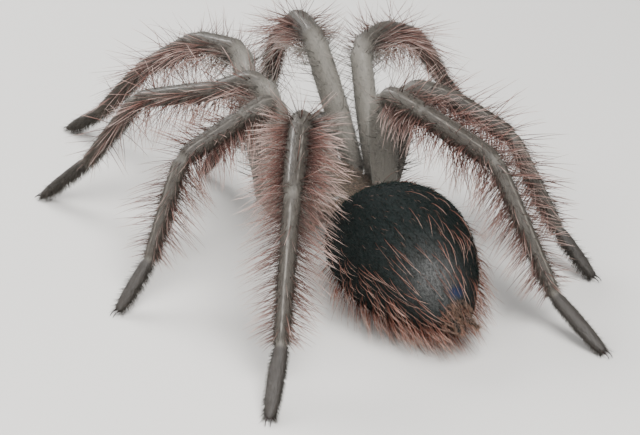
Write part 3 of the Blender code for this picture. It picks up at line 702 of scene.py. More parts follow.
def leg_marks(station, turn):
    """Bare pale lines (instep's partly painted highlight) and joint rings, 0 to 1, by station and
    turn, top = 90.
    """
    turn = np.mod(turn, 360)
    twin, middle = line_spans(station)
    off = np.abs(turn - 90)
    lines = np.maximum(twin * bump_at(off, PALE_LINE_TURN, PALE_LINE_HALF),
                       middle * bump_at(off, 0, MIDDLE_LINE_HALF))
    top = np.clip(np.sin(np.radians(turn)) * 1.4 + 0.3, 0, 1)
    rings = np.zeros_like(station)
    for joint, half, strength in JOINT_RINGS:
        rings = np.maximum(rings, bump_at(station, joint, half) * strength * top)
    return lines, rings


def palp_marks(station, turn):
    lines, rings = leg_marks(station, turn)
    return lines * PALP_STRENGTH, rings * PALP_STRENGTH


# The patch is worn velvet with a painted grey sheen
print("wear in the middle of the patch:", worn_at(np.array([WORN_AND_SHEEN_MIDDLE])))


# %% Fuse the hide
LOWEST_HIDE = 0.15


def mesh_object(name, mesh, collection):
    data = bpy.data.meshes.new(name)
    mesh.to_mesh(data)
    mesh.free()
    made = bpy.data.objects.new(name, data)
    collection.objects.link(made)
    return made


def rest_on_floor(mesh):
    for vertex in mesh.verts:
        vertex.co.z = max(vertex.co.z, LOWEST_HIDE)


hide_parts = []
for limb in limbs + palps:
    tube = loft(limb.frames(), LIMB_SIDES)
    rest_on_floor(tube)
    hide_parts.append((limb.name, tube))
hide_parts.append(("waist", build_waist()))
hide_parts.append(("abdomen_hide", build_abdomen()))
for side_name, side in SIDES.items():
    hide_parts.append(("spinneret_hide_" + side_name, build_spinneret(side)))

union_group = bpy.data.collections.new("hide_parts")
scene.collection.children.link(union_group)
for name, mesh in hide_parts:
    mesh_object(name, mesh, union_group)
hide = mesh_object("hide", build_core(), scene.collection)
union = hide.modifiers.new("fuse", "BOOLEAN")
union.operation = "UNION"
union.solver = "EXACT"
union.operand_type = "COLLECTION"
union.collection = union_group
view = bpy.context.evaluated_depsgraph_get()
fused = bpy.data.meshes.new_from_object(hide.evaluated_get(view))
hide.modifiers.clear()
hide.data = fused
for item in list(union_group.objects):
    bpy.data.objects.remove(item, do_unlink=True)
bpy.data.collections.remove(union_group)
print("hide:", len(fused.vertices), "vertices,", len(fused.polygons), "faces")

# %% [markdown]
# ## Every point knows its place
# For a point on the hide, the nearest ring of the nearest limb gives its station, its turn round
# the limb and its place on the straightened limb. They are stored as attributes, because a
# pattern on an attribute follows the limb round its bends, which one on plain space can't.

# %% Places on the limbs
STRAIGHT_STEP = 200


def set_value(data, name, values):
    made = data.attributes.new(name, "FLOAT", "POINT")
    made.data.foreach_set("value", np.asarray(values, np.float32))


def set_vector(data, name, values):
    made = data.attributes.new(name, "FLOAT_VECTOR", "POINT")
    made.data.foreach_set("vector", np.asarray(values, np.float32).ravel())


def points_of(data):
    spots = np.empty(len(data.vertices) * 3, np.float32)
    data.vertices.foreach_get("co", spots)
    return spots.reshape(-1, 3).astype(float)


def limb_places(limb, spots):
    """Distance of each spot from the limb's line in radii, its station, turn and straight place."""
    tree = KDTree(len(limb.middle))
    for number, middle in enumerate(limb.middle):
        tree.insert(middle, number)
    tree.balance()
    near = np.array([tree.find(spot)[1] for spot in spots])
    offset = spots - limb.middle[near]
    along = np.einsum("ij,ij->i", offset, limb.heading[near])
    side = np.einsum("ij,ij->i", offset, limb.across[near])
    rise = np.einsum("ij,ij->i", offset, limb.up[near])
    reach = np.hypot(side / limb.half_width[near], rise / limb.half_depth[near])
    arc = limb.arc[near] + along
    station = np.interp(arc, limb.arc, limb.station)
    turn = np.degrees(np.arctan2(rise / limb.half_depth[near], side / limb.half_width[near]))
    beyond = np.maximum(0, -arc - ROOT_SINK)
    straight = np.stack((side, rise, arc + STRAIGHT_STEP * limb.number), axis=1)
    return reach + beyond, station, turn, straight


print("points of the hide to place:", len(points_of(hide.data)))

# %% Attributes of the hide
LEG_REGION, BODY_REGION, ABDOMEN_REGION = 0, 1, 2
LIMB_REACH = 1.25
LIMB_ROOM = 6
ABDOMEN_LINE = -ABDOMEN_FRONT[0] - 2.5

hide_spots = points_of(hide.data)
closest = np.full(len(hide_spots), LIMB_REACH)
twin_line = np.zeros(len(hide_spots))
middle_line = np.zeros(len(hide_spots))
pale_rings_and_thigh_light = np.zeros(len(hide_spots))
toe = np.zeros(len(hide_spots))
straight = hide_spots.copy()
region = np.where(hide_spots[:, 1] > ABDOMEN_LINE, ABDOMEN_REGION, BODY_REGION)
for limb in limbs + palps:
    low = limb.middle.min(axis=0) - LIMB_ROOM
    high = limb.middle.max(axis=0) + LIMB_ROOM
    inside = np.nonzero(np.all((hide_spots > low) & (hide_spots < high), axis=1))[0]
    reach, station, turn, flat = limb_places(limb, hide_spots[inside])
    won = reach < closest[inside]
    chosen = inside[won]
    marks = leg_marks if limb in limbs else palp_marks
    band = marks(station[won], turn[won])[1]
    closest[chosen] = reach[won]
    twin_line[chosen], middle_line[chosen] = line_spans(station[won])
    # Pale rings, and thighs paled partly by painted light
    pale_rings_and_thigh_light[chosen] = np.maximum(band, np.interp(station[won], *zip(*PALE_AND_PAINTED_LIGHT_ALONG)))
    straight[chosen] = flat[won]
    region[chosen] = LEG_REGION
    toe[chosen] = toe_tip(limb, station[won])
for name, values in (
        ("twin_line", twin_line), ("middle_line", middle_line), ("pale_ring", pale_rings_and_thigh_light),
        ("toe", toe), ("worn", worn_at(hide_spots)), ("bald", bald_at(hide_spots))):
    set_value(hide.data, name, values)
set_vector(hide.data, "straight", straight)
corner_region = np.empty(len(hide.data.loops), np.int32)
hide.data.loops.foreach_get("vertex_index", corner_region)
starts = np.empty(len(hide.data.polygons), np.int32)
hide.data.polygons.foreach_get("loop_start", starts)
face_region = region[corner_region[starts]]
print("hide regions:", np.bincount(face_region))

# %% [markdown]
# ## The carapace
# The plate over the head and chest is a low dome. Grooves run from a small pit in its middle to
# the legs, where muscles pull on the inside, and two more set off the raised head. The dome is
# swept along its length, and the grooves are pressed into it by moving its vertices.

# %% Shape the carapace
CARAPACE_PROFILE = (
    # ahead of the middle, half width, rise of the back
    (-13.2, 3.6, 1.6), (-12.2, 6.2, 2.6), (-10.0, 8.9, 3.6), (-7.0, 10.6, 4.2),
    (-3.0, 11.4, 4.3), (0.0, 11.3, 4.4), (3.0, 10.5, 5.0), (6.0, 8.8, 5.6),
    (8.5, 7.2, 5.8), (11.0, 6.3, 5.4), (13.2, 5.7, 4.5),
)
CARAPACE_BELLY = 0.12
CARAPACE_SIDES = 72
CARAPACE_RINGS = 56
CARAPACE_SKIN_DEPTH = 0.15
PIT_AHEAD = -2.2
PIT_HALF = (1.9, 0.75)
PIT_DEPTH = 0.95
GROOVE_TURNS = (62, 96, 128, 156)
GROOVE_HALF = 4.5
GROOVE_DEPTH = 0.34
GROOVE_SPAN = (1.5, 2.5, 11.5, 4.0)
NECK_GROOVE_TURN = 33
NECK_GROOVE_HALF = 5.5
NECK_GROOVE_DEPTH = 0.45
NECK_GROOVE_SPAN = (1.0, 2.0, 12.5, 2.5)
END_ROUND = 1.1
COLUMN_STEPS = 400
MEAN_HALF = 18
SMOOTHING = 0.35


def carapace_section(point):
    """Half an ellipse over an almost flat underside."""
    return Vector((point.x, point.y if point.y > 0 else point.y * CARAPACE_BELLY, point.z))


def smooth_column(keys, values, spots):
    """The table's values at the spots, with its corners eased by a short running mean."""
    fine = np.linspace(keys[0], keys[-1], COLUMN_STEPS)
    line = np.interp(fine, keys, values)
    window = np.hanning(2 * MEAN_HALF + 1)
    window /= window.sum()
    padded = np.pad(line, MEAN_HALF, mode="reflect", reflect_type="odd")
    return np.interp(spots, fine, np.convolve(padded, window, mode="valid"))


def fade_in_and_out(reach, span):
    """0 near the pit, rising to 1 and falling to 0 again: start, rise, stop and fall in mm."""
    start, rise, stop, fall = span
    return min(1.0, max(0.0, (reach - start) / rise)) * min(1.0, max(0.0, (stop - reach) / fall))


def carapace_grooves(spot):
    """How far the plate is pressed in at a spot of its top."""
    out = abs(spot.x)
    ahead = -spot.y - PIT_AHEAD
    reach = math.hypot(out, ahead)
    turn = math.degrees(math.atan2(out, ahead))
    pit = math.exp(-(out / PIT_HALF[0]) ** 2 - (ahead / PIT_HALF[1]) ** 2) * PIT_DEPTH
    fade = fade_in_and_out(reach, GROOVE_SPAN)
    dip = 0.0
    for groove in GROOVE_TURNS:
        dip = max(dip, math.exp(-((turn - groove) / GROOVE_HALF) ** 2) * GROOVE_DEPTH * fade)
    neck = math.exp(-((turn - NECK_GROOVE_TURN) / NECK_GROOVE_HALF) ** 2) * NECK_GROOVE_DEPTH
    return pit + max(dip, neck * fade_in_and_out(reach, NECK_GROOVE_SPAN))


print("a groove 6 mm out is", round(carapace_grooves(Vector((6, 2.8, 0))), 2), "mm deep")


# %% Build the carapace
def build_carapace():
    keys, widths, rises = zip(*CARAPACE_PROFILE)
    spread = [0.5 - 0.5 * math.cos(math.pi * k / CARAPACE_RINGS) for k in range(CARAPACE_RINGS + 1)]
    ahead = keys[0] + (keys[-1] - keys[0]) * np.array(spread)
    width = smooth_column(keys, widths, ahead) - CARAPACE_SKIN_DEPTH
    rise = smooth_column(keys, rises, ahead) - CARAPACE_SKIN_DEPTH
    frames = []
    for spot, half_width, height in zip(ahead, width, rise):
        ends = max(0.0, 1 - min(spot - keys[0], keys[-1] - spot) / END_ROUND)
        round_off = math.sqrt(1 - min(0.93, ends) ** 2)
        axes = Matrix(((half_width * (0.6 + 0.4 * round_off), 0, 0), (0, 0, -1),
                       (0, height * round_off, 0)))
        frames.append(Matrix.Translation((0, -spot, CARAPACE_BASE)) @ axes.to_4x4())
    mesh = loft(frames, CARAPACE_SIDES, shape=carapace_section)
    for vertex in mesh.verts:
        if vertex.co.z > CARAPACE_BASE + 0.4:
            vertex.co.z -= carapace_grooves(vertex.co)
    bmesh.ops.smooth_vert(mesh, verts=mesh.verts, factor=SMOOTHING, use_axis_x=True,
                          use_axis_y=True, use_axis_z=True)
    return mesh


def to_piece(name, mesh):
    """Makes a finished piece from a bmesh in millimetres, at its place among the solids."""
    bmesh.ops.transform(mesh, matrix=TO_FRAME, verts=mesh.verts)
    made = mesh_object(name, mesh, scene.collection)
    made.data.shade_smooth()
    return made


carapace_mesh = build_carapace()
carapace_tree = BVHTree.FromBMesh(carapace_mesh)
carapace = to_piece("carapace_plate", carapace_mesh)
print("carapace:", len(carapace.data.polygons), "faces")

# %% [markdown]
# ## Eyes, jaws and fangs
# Eight small eyes sit in two rows on one low mound near the front edge. The two front ones are
# round and dark, and the others oval and pearly. Under the front edge two stout jaws point
# forward, and each carries a curved fang that folds back below it.

# %% Shape eyes, jaws and fangs
# The mound's place ahead, its half width, its half length and its rise
EYE_MOUND = (10.2, 2.3, 1.3, 1.3)
MOUND_ANGLES = (-60, -30, 0, 15, 30, 45, 60, 72, 82, 88)
MOUND_LIFT = 0.25
MOUND_SIDES = 36
EYES = (
    # ahead of the mound's middle, out from the midline, radius, stretch along its own row
    (0.62, 0.58, 0.46, 1.0), (-0.42, 0.95, 0.30, 1.2), (0.72, 1.52, 0.42, 1.35),
    (-0.45, 1.68, 0.36, 1.3),
)
EYE_SINK = 0.38
SKY = 100.0
JAW_OUT = 2.95
JAW_LEVEL = ROOT_HEIGHT + 5.4
JAW_REACH = 6.5
JAW_TIP_AHEAD = 3.5
JAW_DROP = 6.2
JAW_BEND = 5.5
JAW_WIDTH = ((0.0, 5.0), (0.5, 5.4), (1.0, 5.4), (1.6, 5.0), (2.0, 3.8))
JAW_DEPTH = ((0.0, 6.6), (0.5, 7.4), (1.0, 7.2), (1.6, 6.2), (2.0, 4.2))
JAW_SKIN_DEPTH = 0.2
FANG_WIDTH = ((0.0, 2.0), (1.0, 1.5), (2.0, 0.5))
FANG_KNUCKLE = 3.0
FANG_BACK = 4.6
FANG_DOWN = 2.4
FANG_IN = 0.5
FANG_BEND = 2.6
FANG_POINT = 0.8


def build_mound():
    """A low dome on the plate, sunk into it all round."""
    ahead, half_width, half_length, rise = EYE_MOUND
    top = carapace_tree.ray_cast(Vector((0, -ahead, SKY)), DOWN)[0]
    frames = []
    for angle in MOUND_ANGLES:
        size = max(0.03, math.cos(math.radians(angle)))
        scale = Matrix.Diagonal((half_width * size, half_length * size, 1.0, 1.0))
        height = top.z + MOUND_LIFT + rise * math.sin(math.radians(angle))
        frames.append(Matrix.Translation((0, -ahead, height)) @ scale)
    return loft(frames, MOUND_SIDES)


mound_mesh = build_mound()
mound_tree = BVHTree.FromBMesh(mound_mesh)
mound = to_piece("eye_mound_plate", mound_mesh)


def build_eyes(rows):
    """Balls set into the mound, each as far as its lid of horn would leave it bare."""
    mesh = bmesh.new()
    for forward, out, radius, stretch in rows:
        for side in (-1, 1):
            spot = Vector((side * out, -EYE_MOUND[0] - forward, SKY))
            hit, normal, number, distance = mound_tree.ray_cast(spot, DOWN)
            shape = Matrix.Diagonal((stretch, 1.0, 1.0, 1.0))
            turn = UP.rotation_difference(normal).to_matrix().to_4x4()
            matrix = Matrix.Translation(hit - normal * radius * EYE_SINK) @ turn @ shape
            bmesh.ops.create_icosphere(mesh, subdivisions=3, radius=radius, matrix=matrix)
    return mesh


front_eyes = to_piece("eyes_front", build_eyes(EYES[:1]))
side_eyes = to_piece("eyes_side", build_eyes(EYES[1:]))

# %% Build jaws and fangs
JAW_SINK = 1.6
JAW_SPACING = 0.5
JAW_SIDES = 32
FANG_SINK = 1.0
FANG_SPACING = 0.3
FANG_SIDES = 20
FANG_FLAT = 0.92

jaws = []
fangs = []
for side_name, side in SIDES.items():
    front = CARAPACE_PROFILE[-1][0] + SOLID_GAP
    points = [
        place(front - JAW_SINK, JAW_OUT, JAW_LEVEL, side),
        place(front + JAW_REACH, JAW_OUT, JAW_LEVEL, side),
        place(front + JAW_REACH + JAW_TIP_AHEAD, JAW_OUT, JAW_LEVEL - JAW_DROP, side),
    ]
    rings = limb_rings(points, [SIDEWAYS] * 2, (JAW_BEND,), JAW_SPACING)
    frames = []
    for number, ring in enumerate(rings):
        half_width = np.interp(ring.station, *zip(*JAW_WIDTH)) / 2 - JAW_SKIN_DEPTH
        half_depth = np.interp(ring.station, *zip(*JAW_DEPTH)) / 2 - JAW_SKIN_DEPTH
        ends = min(number / 3, (len(rings) - 1 - number) / 5, 1.0)
        round_off = math.sqrt(1 - (1 - ends) ** 2) * 0.55 + 0.45
        frames.append(ring.matrix(half_width * round_off, half_depth * round_off))
    jaws.append(to_piece("jaw_" + side_name, loft(frames, JAW_SIDES)))
    end = rings[-1]
    base = end.middle - end.heading * FANG_SINK
    knuckle = end.middle + end.heading * (SOLID_GAP + FANG_KNUCKLE)
    last = knuckle + Vector((-side * FANG_IN, FANG_BACK, -FANG_DOWN))
    line = [base, knuckle, last]
    fang_rings = limb_rings(line, [SIDEWAYS] * 2, (FANG_BEND,), FANG_SPACING)
    frames = []
    for ring in fang_rings:
        half = np.interp(ring.station, *zip(*FANG_WIDTH)) / 2
        frames.append(ring.matrix(half * FANG_FLAT, half))
    point = last + (last - knuckle).normalized() * FANG_POINT
    fangs.append(to_piece("fang_horn_" + side_name, loft(frames, FANG_SIDES, point=point)))
print("jaws and fangs:", [len(item.data.polygons) for item in jaws + fangs])

# %% [markdown]
# ## Claws
# Each foot ends in a brush of hair with two small black claws that curve down out of it. They
# are swept along a bent line and brought to a point.

# %% Shape the claws
CLAW_LENGTH = 2.2
CLAW_WIDTH = 0.62
CLAW_ROOT = 1.0
CLAW_OUT = 0.6
CLAW_HEIGHTS = (1.3, 1.5, 0.12)
CLAW_STEPS = 9
CLAW_SIDES = 8
CLAW_FLAT = 0.8


def along_curve(curve, share):
    start, bend, end = curve
    return start.lerp(bend, share).lerp(bend.lerp(end, share), share)


def build_claw(curve, across):
    frames = []
    for step in range(CLAW_STEPS):
        share = step / CLAW_STEPS
        spot = along_curve(curve, share)
        heading = along_curve(curve, share + 0.05) - spot
        half = CLAW_WIDTH / 2 * (1 - 0.75 * share)
        frames.append(Ring(spot, heading, across, share).matrix(half * CLAW_FLAT, half))
    return loft(frames, CLAW_SIDES, point=curve[2])


claw_mesh = bmesh.new()
for limb in limbs:
    tip = limb.rings[-1]
    ahead = Vector((tip.heading.x, tip.heading.y, 0)).normalized()
    for side in (-1, 1):
        root = tip.middle - ahead * CLAW_ROOT + tip.across * side * CLAW_OUT
        bend = root + ahead * (CLAW_ROOT + CLAW_LENGTH * 0.75)
        end = bend + ahead * CLAW_LENGTH * 0.25
        root.z, bend.z, end.z = CLAW_HEIGHTS
        claw = build_claw((root, bend, end), tip.across)
        spare = bpy.data.meshes.new("claw")
        claw.to_mesh(spare)
        claw.free()
        claw_mesh.from_mesh(spare)
        bpy.data.meshes.remove(spare)
claws = to_piece("claws", claw_mesh)
print("claws:", len(claws.data.polygons), "faces")

# %% [markdown]
# ## Shared shading
# A colour that changes from root to tip is used by every coat, and a fine grain drawn out along
# the body by every hide, so each is a node group with named inputs. The groups only give colours
# and values. The shader itself stays in each material.

# %% Node helpers
def new_node(tree, kind, settings=None, **inputs):
    """Adds a node, with its settings and its inputs, which are values or other nodes' sockets."""
    made = tree.nodes.new("ShaderNode" + kind)
    for key, value in (settings or {}).items():
        setattr(made, key, value)
    for key, value in inputs.items():
        fill(tree, made.inputs[key.replace("_", " ")], value)
    return made


def fill(tree, socket, value):
    if isinstance(value, bpy.types.NodeSocket):
        tree.links.new(value, socket)
    else:
        socket.default_value = value


def mix_colours(tree, share, first, second, blend="MIX"):
    made = tree.nodes.new("ShaderNodeMix")
    made.data_type = "RGBA"
    made.blend_type = blend
    made.clamp_factor = True
    fill(tree, made.inputs[0], share)
    fill(tree, made.inputs[6], first)
    fill(tree, made.inputs[7], second)
    return made.outputs[2]


def stretch_range(tree, value, low, high, to_low=0.0, to_high=1.0):
    """The value's range from low to high, spread to a new range and clamped."""
    made = new_node(tree, "MapRange", Value=value, From_Min=low, From_Max=high, To_Min=to_low,
                    To_Max=to_high)
    return made.outputs["Result"]


def calculate(tree, operation, first, second=0.0):
    made = tree.nodes.new("ShaderNodeMath")
    made.operation = operation
    fill(tree, made.inputs[0], first)
    fill(tree, made.inputs[1], second)
    return made.outputs[0]


def times(tree, first, second):
    return calculate(tree, "MULTIPLY", first, second)


def attribute(tree, name, output="Fac"):
    return new_node(tree, "Attribute", {"attribute_name": name}).outputs[output]


def rgb(red, green, blue):
    return (red, green, blue, 1.0)


def new_group(name, inputs, outputs):
    group = bpy.data.node_groups.new(name, "ShaderNodeTree")
    for key, kind in inputs:
        group.interface.new_socket(key, in_out="INPUT", socket_type="NodeSocket" + kind)
    for key, kind in outputs:
        group.interface.new_socket(key, in_out="OUTPUT", socket_type="NodeSocket" + kind)
    start = group.nodes.new("NodeGroupInput")
    end = group.nodes.new("NodeGroupOutput")
    return group, start.outputs, end.inputs


def use_group(tree, group, **inputs):
    made = tree.nodes.new("ShaderNodeGroup")
    made.node_tree = group
    for key, value in inputs.items():
        fill(tree, made.inputs[key.replace("_", " ")], value)
    return made.outputs


def new_look(name, **constants):
    """A material, its node tree and its shader, with the values that are the same all over."""
    made = bpy.data.materials.new(name)
    made.use_nodes = True
    shader = made.node_tree.nodes["Principled BSDF"]
    for key, value in constants.items():
        shader.inputs[key.replace("_", " ")].default_value = value
    return made, made.node_tree, shader.inputs


# %% Groups for strands and grain
strand_group, given, result = new_group(
    "strand_colour",
    (("Root", "Color"), ("Middle", "Color"), ("Tip", "Color"), ("Along", "Float"),
     ("Tint", "Float")),
    (("Color", "Color"),),
)
low = stretch_range(strand_group, given["Along"], 0.0, 0.45)
high = stretch_range(strand_group, given["Along"], 0.45, 0.95)
shade = mix_colours(strand_group, low, given["Root"], given["Middle"])
shade = mix_colours(strand_group, high, shade, given["Tip"])
light = stretch_range(strand_group, given["Tint"], 0.0, 1.0, 0.55, 1.45)
tone = new_node(strand_group, "CombineColor", Red=light, Green=light, Blue=light).outputs[0]
shade = mix_colours(strand_group, 1.0, shade, tone, "MULTIPLY")
strand_group.links.new(shade, result["Color"])

grain_group, given, result = new_group(
    "drawn_grain",
    (("Vector", "Vector"), ("Scale", "Float"), ("Stretch", "Vector")),
    (("Patches", "Float"), ("Fibres", "Float")),
)
drawn = new_node(grain_group, "Mapping", Vector=given["Vector"], Scale=given["Stretch"]).outputs[0]
fibres = new_node(grain_group, "TexNoise", Vector=drawn, Scale=given["Scale"], Detail=4.0)
slow = times(grain_group, given["Scale"], 0.13)
patches = new_node(grain_group, "TexNoise", Vector=given["Vector"], Scale=slow, Detail=3.0)
grain_group.links.new(stretch_range(grain_group, fibres.outputs[0], 0.3, 0.7), result["Fibres"])
grain_group.links.new(stretch_range(grain_group, patches.outputs[0], 0.35, 0.65), result["Patches"])
print("groups:", [group.name for group in bpy.data.node_groups])

# %% [markdown]
# ## Looks of the hide
# Between the hairs the leg shows a grey-brown hide with bare pale lines on the knee piece and
# shin, a pale line along the top of thigh and instep that on the instep is partly a painted
# highlight, pale rings at the joints, thighs paled partly by painted light, and a darker toe. The
# abdomen is almost black with a blue-green cast, with a painted grey sheen on a worn patch and a
# painted blue sheen on a bald spot in it. The lines are also bare in the coat, so that hide and
# coat tell the same story.

# %% Hide materials
LEG_DARK = rgb(0.024, 0.021, 0.017)
LEG_LIGHT = rgb(0.062, 0.054, 0.044)
# Pale of the bare lines; along the instep's middle line partly a painted highlight
LEG_LINE = rgb(0.235, 0.212, 0.184)
LEG_RING_AND_THIGH_LIGHT = rgb(0.165, 0.152, 0.130)
TOE_DARK = rgb(0.036, 0.032, 0.029)
BODY_DARK = rgb(0.030, 0.022, 0.017)
BODY_LIGHT = rgb(0.075, 0.056, 0.042)
ABDOMEN_DARK = rgb(0.003, 0.004, 0.004)
ABDOMEN_LIGHT = rgb(0.008, 0.012, 0.011)
# Grey of the worn patch on the abdomen: a painted sheen
ABDOMEN_WORN_AND_SHEEN = rgb(0.078, 0.077, 0.075)
# Blue of the bald spot: a painted sheen on bare skin
ABDOMEN_BALD_BLUE_SHEEN = rgb(0.008, 0.013, 0.034)

leg_hide, tree, leg_in = new_look("leg_hide", Specular_IOR_Level=0.35, Coat_Roughness=0.22)
grain = use_group(tree, grain_group, Vector=attribute(tree, "straight", "Vector"), Scale=3.0,
                  Stretch=(1.0, 1.0, 0.14))
colour = mix_colours(tree, grain["Fibres"], LEG_DARK, LEG_LIGHT)
colour = mix_colours(tree, times(tree, grain["Patches"], 0.5), colour, BODY_DARK)
place_on_leg = new_node(tree, "SeparateXYZ", Vector=attribute(tree, "straight", "Vector")).outputs
turn = calculate(tree, "ARCTAN2", place_on_leg["Y"], place_on_leg["X"])
off = calculate(tree, "ABSOLUTE", calculate(tree, "SUBTRACT", turn, math.pi / 2))
past_twin = calculate(tree, "SUBTRACT", off, math.radians(PALE_LINE_TURN))
from_twin = calculate(tree, "ABSOLUTE", past_twin)
twin = stretch_range(tree, from_twin, math.radians(PALE_LINE_HALF) * LINE_EDGE,
                     math.radians(PALE_LINE_HALF), 1.0, 0.0)
middle = stretch_range(tree, off, math.radians(MIDDLE_LINE_HALF) * LINE_EDGE,
                       math.radians(MIDDLE_LINE_HALF), 1.0, 0.0)
# Bare pale lines; the instep's middle line is partly a painted highlight
bare_line_and_highlight = calculate(tree, "MAXIMUM", times(tree, twin, attribute(tree, "twin_line")),
                 times(tree, middle, attribute(tree, "middle_line")))
bare_line_and_highlight = times(tree, bare_line_and_highlight, stretch_range(tree, grain["Patches"], 0.0, 1.0, 0.5, 1.0))
bare_line_and_highlight = times(tree, bare_line_and_highlight, stretch_range(tree, grain["Fibres"], 0.2, 0.8, 0.2, 1.0))
tree.links.new(times(tree, bare_line_and_highlight, 0.55), leg_in["Coat Weight"])
colour = mix_colours(tree, bare_line_and_highlight, colour, LEG_LINE)
# Pale rings, and thighs paled partly by painted light
colour = mix_colours(tree, attribute(tree, "pale_ring"), colour, LEG_RING_AND_THIGH_LIGHT)
colour = mix_colours(tree, times(tree, attribute(tree, "toe"), 0.85), colour, TOE_DARK)
tree.links.new(colour, leg_in["Base Color"])
gloss = stretch_range(tree, bare_line_and_highlight, 0.0, 1.0, 0.58, 0.3)
tree.links.new(gloss, leg_in["Roughness"])
bump = new_node(tree, "Bump", Height=grain["Fibres"], Strength=0.5, Distance=0.00015)
tree.links.new(bump.outputs[0], leg_in["Normal"])
print(leg_hide.name, "has", len(tree.nodes), "nodes")

# %% Hides of body and abdomen
body_hide, tree, body_in = new_look("body_hide", Sheen_Weight=0.1, Sheen_Roughness=0.4)
grain = use_group(tree, grain_group, Vector=attribute(tree, "straight", "Vector"), Scale=3.0,
                  Stretch=(1.0, 0.3, 1.0))
tree.links.new(mix_colours(tree, grain["Fibres"], BODY_DARK, BODY_LIGHT), body_in["Base Color"])
tree.links.new(stretch_range(tree, grain["Patches"], 0, 1, 0.45, 0.65), body_in["Roughness"])
bump = new_node(tree, "Bump", Height=grain["Fibres"], Strength=0.5, Distance=0.00015)
tree.links.new(bump.outputs[0], body_in["Normal"])

abdomen_hide, tree, abdomen_in = new_look("abdomen_hide", Specular_IOR_Level=0.15)
grain = use_group(tree, grain_group, Vector=attribute(tree, "straight", "Vector"), Scale=3.2,
                  Stretch=(1.0, 0.2, 1.0))
colour = mix_colours(tree, grain["Fibres"], ABDOMEN_DARK, ABDOMEN_LIGHT)
streaks = stretch_range(tree, grain["Fibres"], 0.1, 0.9, 0.3, 1.0)
# Worn patch: a painted grey sheen, broken up by streaks
colour = mix_colours(tree, times(tree, attribute(tree, "worn"), streaks), colour, ABDOMEN_WORN_AND_SHEEN)
# Bald spot: bare skin with a painted blue sheen
bald = stretch_range(tree, attribute(tree, "bald"), 0.2, 0.7)
colour = mix_colours(tree, bald, colour, ABDOMEN_BALD_BLUE_SHEEN)
tree.links.new(colour, abdomen_in["Base Color"])
gloss = stretch_range(tree, attribute(tree, "worn"), 0, 1, 0.75, 0.3)
tree.links.new(stretch_range(tree, bald, 0, 1, gloss, 0.42), abdomen_in["Roughness"])
bump = new_node(tree, "Bump", Height=grain["Fibres"], Strength=0.6, Distance=0.0002)
tree.links.new(bump.outputs[0], abdomen_in["Normal"])

hide.data.materials.clear()
for look in (leg_hide, body_hide, abdomen_hide):
    hide.data.materials.append(look)
hide.data.polygons.foreach_set("material_index", face_region.astype(np.int32))
hide.data.transform(TO_FRAME)
hide.data.shade_smooth()
print("hide boxes:", [round(v * 1000, 1) for v in hide.dimensions])

# %% [markdown]
# ## Looks of horn, eyes and plates
# Fangs and claws are black horn, clouded with a little red-brown. The eyes are wet and dark, the
# side ones with an amber cast. The carapace and jaws are dark brown plate with a drawn-out grain,
# which shows between the hairs of their short fur.

# %% Horn, eye and plate materials
def plate_look(name, dark, light, rough, stretch):
    made, tree, sockets = new_look(name, Sheen_Weight=0.1, Sheen_Roughness=0.4)
    spot = new_node(tree, "TexCoord").outputs["Object"]
    grain = use_group(tree, grain_group, Vector=spot, Scale=2600.0, Stretch=stretch)
    colour = mix_colours(tree, grain["Fibres"], dark, light)
    colour = mix_colours(tree, times(tree, grain["Patches"], 0.45), colour, dark)
    tree.links.new(colour, sockets["Base Color"])
    tree.links.new(stretch_range(tree, grain["Patches"], 0, 1, rough, rough + 0.15),
                   sockets["Roughness"])
    bump = new_node(tree, "Bump", Height=grain["Fibres"], Strength=0.4, Distance=0.0001)
    tree.links.new(bump.outputs[0], sockets["Normal"])
    return made


plate_skin = plate_look("plate", rgb(0.024, 0.018, 0.013), rgb(0.070, 0.052, 0.038), 0.38,
                        (1.0, 0.35, 1.0))
jaw_skin = plate_look("jaw_plate", rgb(0.020, 0.014, 0.011), rgb(0.055, 0.038, 0.030), 0.35,
                      (1.0, 0.3, 1.0))

horn, tree, horn_in = new_look("horn", Coat_Weight=0.4, Coat_Roughness=0.12)
spot = new_node(tree, "TexCoord").outputs["Object"]
grain = use_group(tree, grain_group, Vector=spot, Scale=3000.0, Stretch=(1.0, 1.0, 0.2))
colour = mix_colours(tree, grain["Patches"], rgb(0.006, 0.005, 0.005), rgb(0.020, 0.010, 0.008))
tree.links.new(colour, horn_in["Base Color"])
tree.links.new(stretch_range(tree, grain["Fibres"], 0, 1, 0.16, 0.28), horn_in["Roughness"])


def eye_look(name, dark, light):
    made, tree, sockets = new_look(name, Coat_Weight=1.0, Coat_Roughness=0.03)
    spot = new_node(tree, "TexCoord").outputs["Object"]
    cloud = new_node(tree, "TexNoise", Vector=spot, Scale=1500.0, Detail=2.0).outputs[0]
    colour = mix_colours(tree, stretch_range(tree, cloud, 0.35, 0.65), dark, light)
    tree.links.new(colour, sockets["Base Color"])
    tree.links.new(stretch_range(tree, cloud, 0.35, 0.65, 0.05, 0.12), sockets["Roughness"])
    return made


EYE_DARK = (rgb(0.003, 0.003, 0.004), rgb(0.012, 0.010, 0.010))
EYE_AMBER = (rgb(0.050, 0.030, 0.012), rgb(0.16, 0.12, 0.07))
front_eyes.data.materials.append(eye_look("eye_dark", *EYE_DARK))
side_eyes.data.materials.append(eye_look("eye_amber", *EYE_AMBER))
carapace.data.materials.append(plate_skin)
mound.data.materials.append(jaw_skin)
claws.data.materials.append(horn)
for item in jaws:
    item.data.materials.append(jaw_skin)
for item in fangs:
    item.data.materials.append(horn)
print("materials:", len(bpy.data.materials))

# %% [markdown]
# ## A coat from arrays
# A spider this size carries tens of thousands of visible hairs. Each strand here is a thin bent
# blade with three sides, closed at its root, and ends in a point. Numpy works all of them out at
# once: a root on the hide, a lie, a lift off the hide and a bend back toward it. Each strand also
# stores how far along it each point is, so that the material can pale toward the tips.

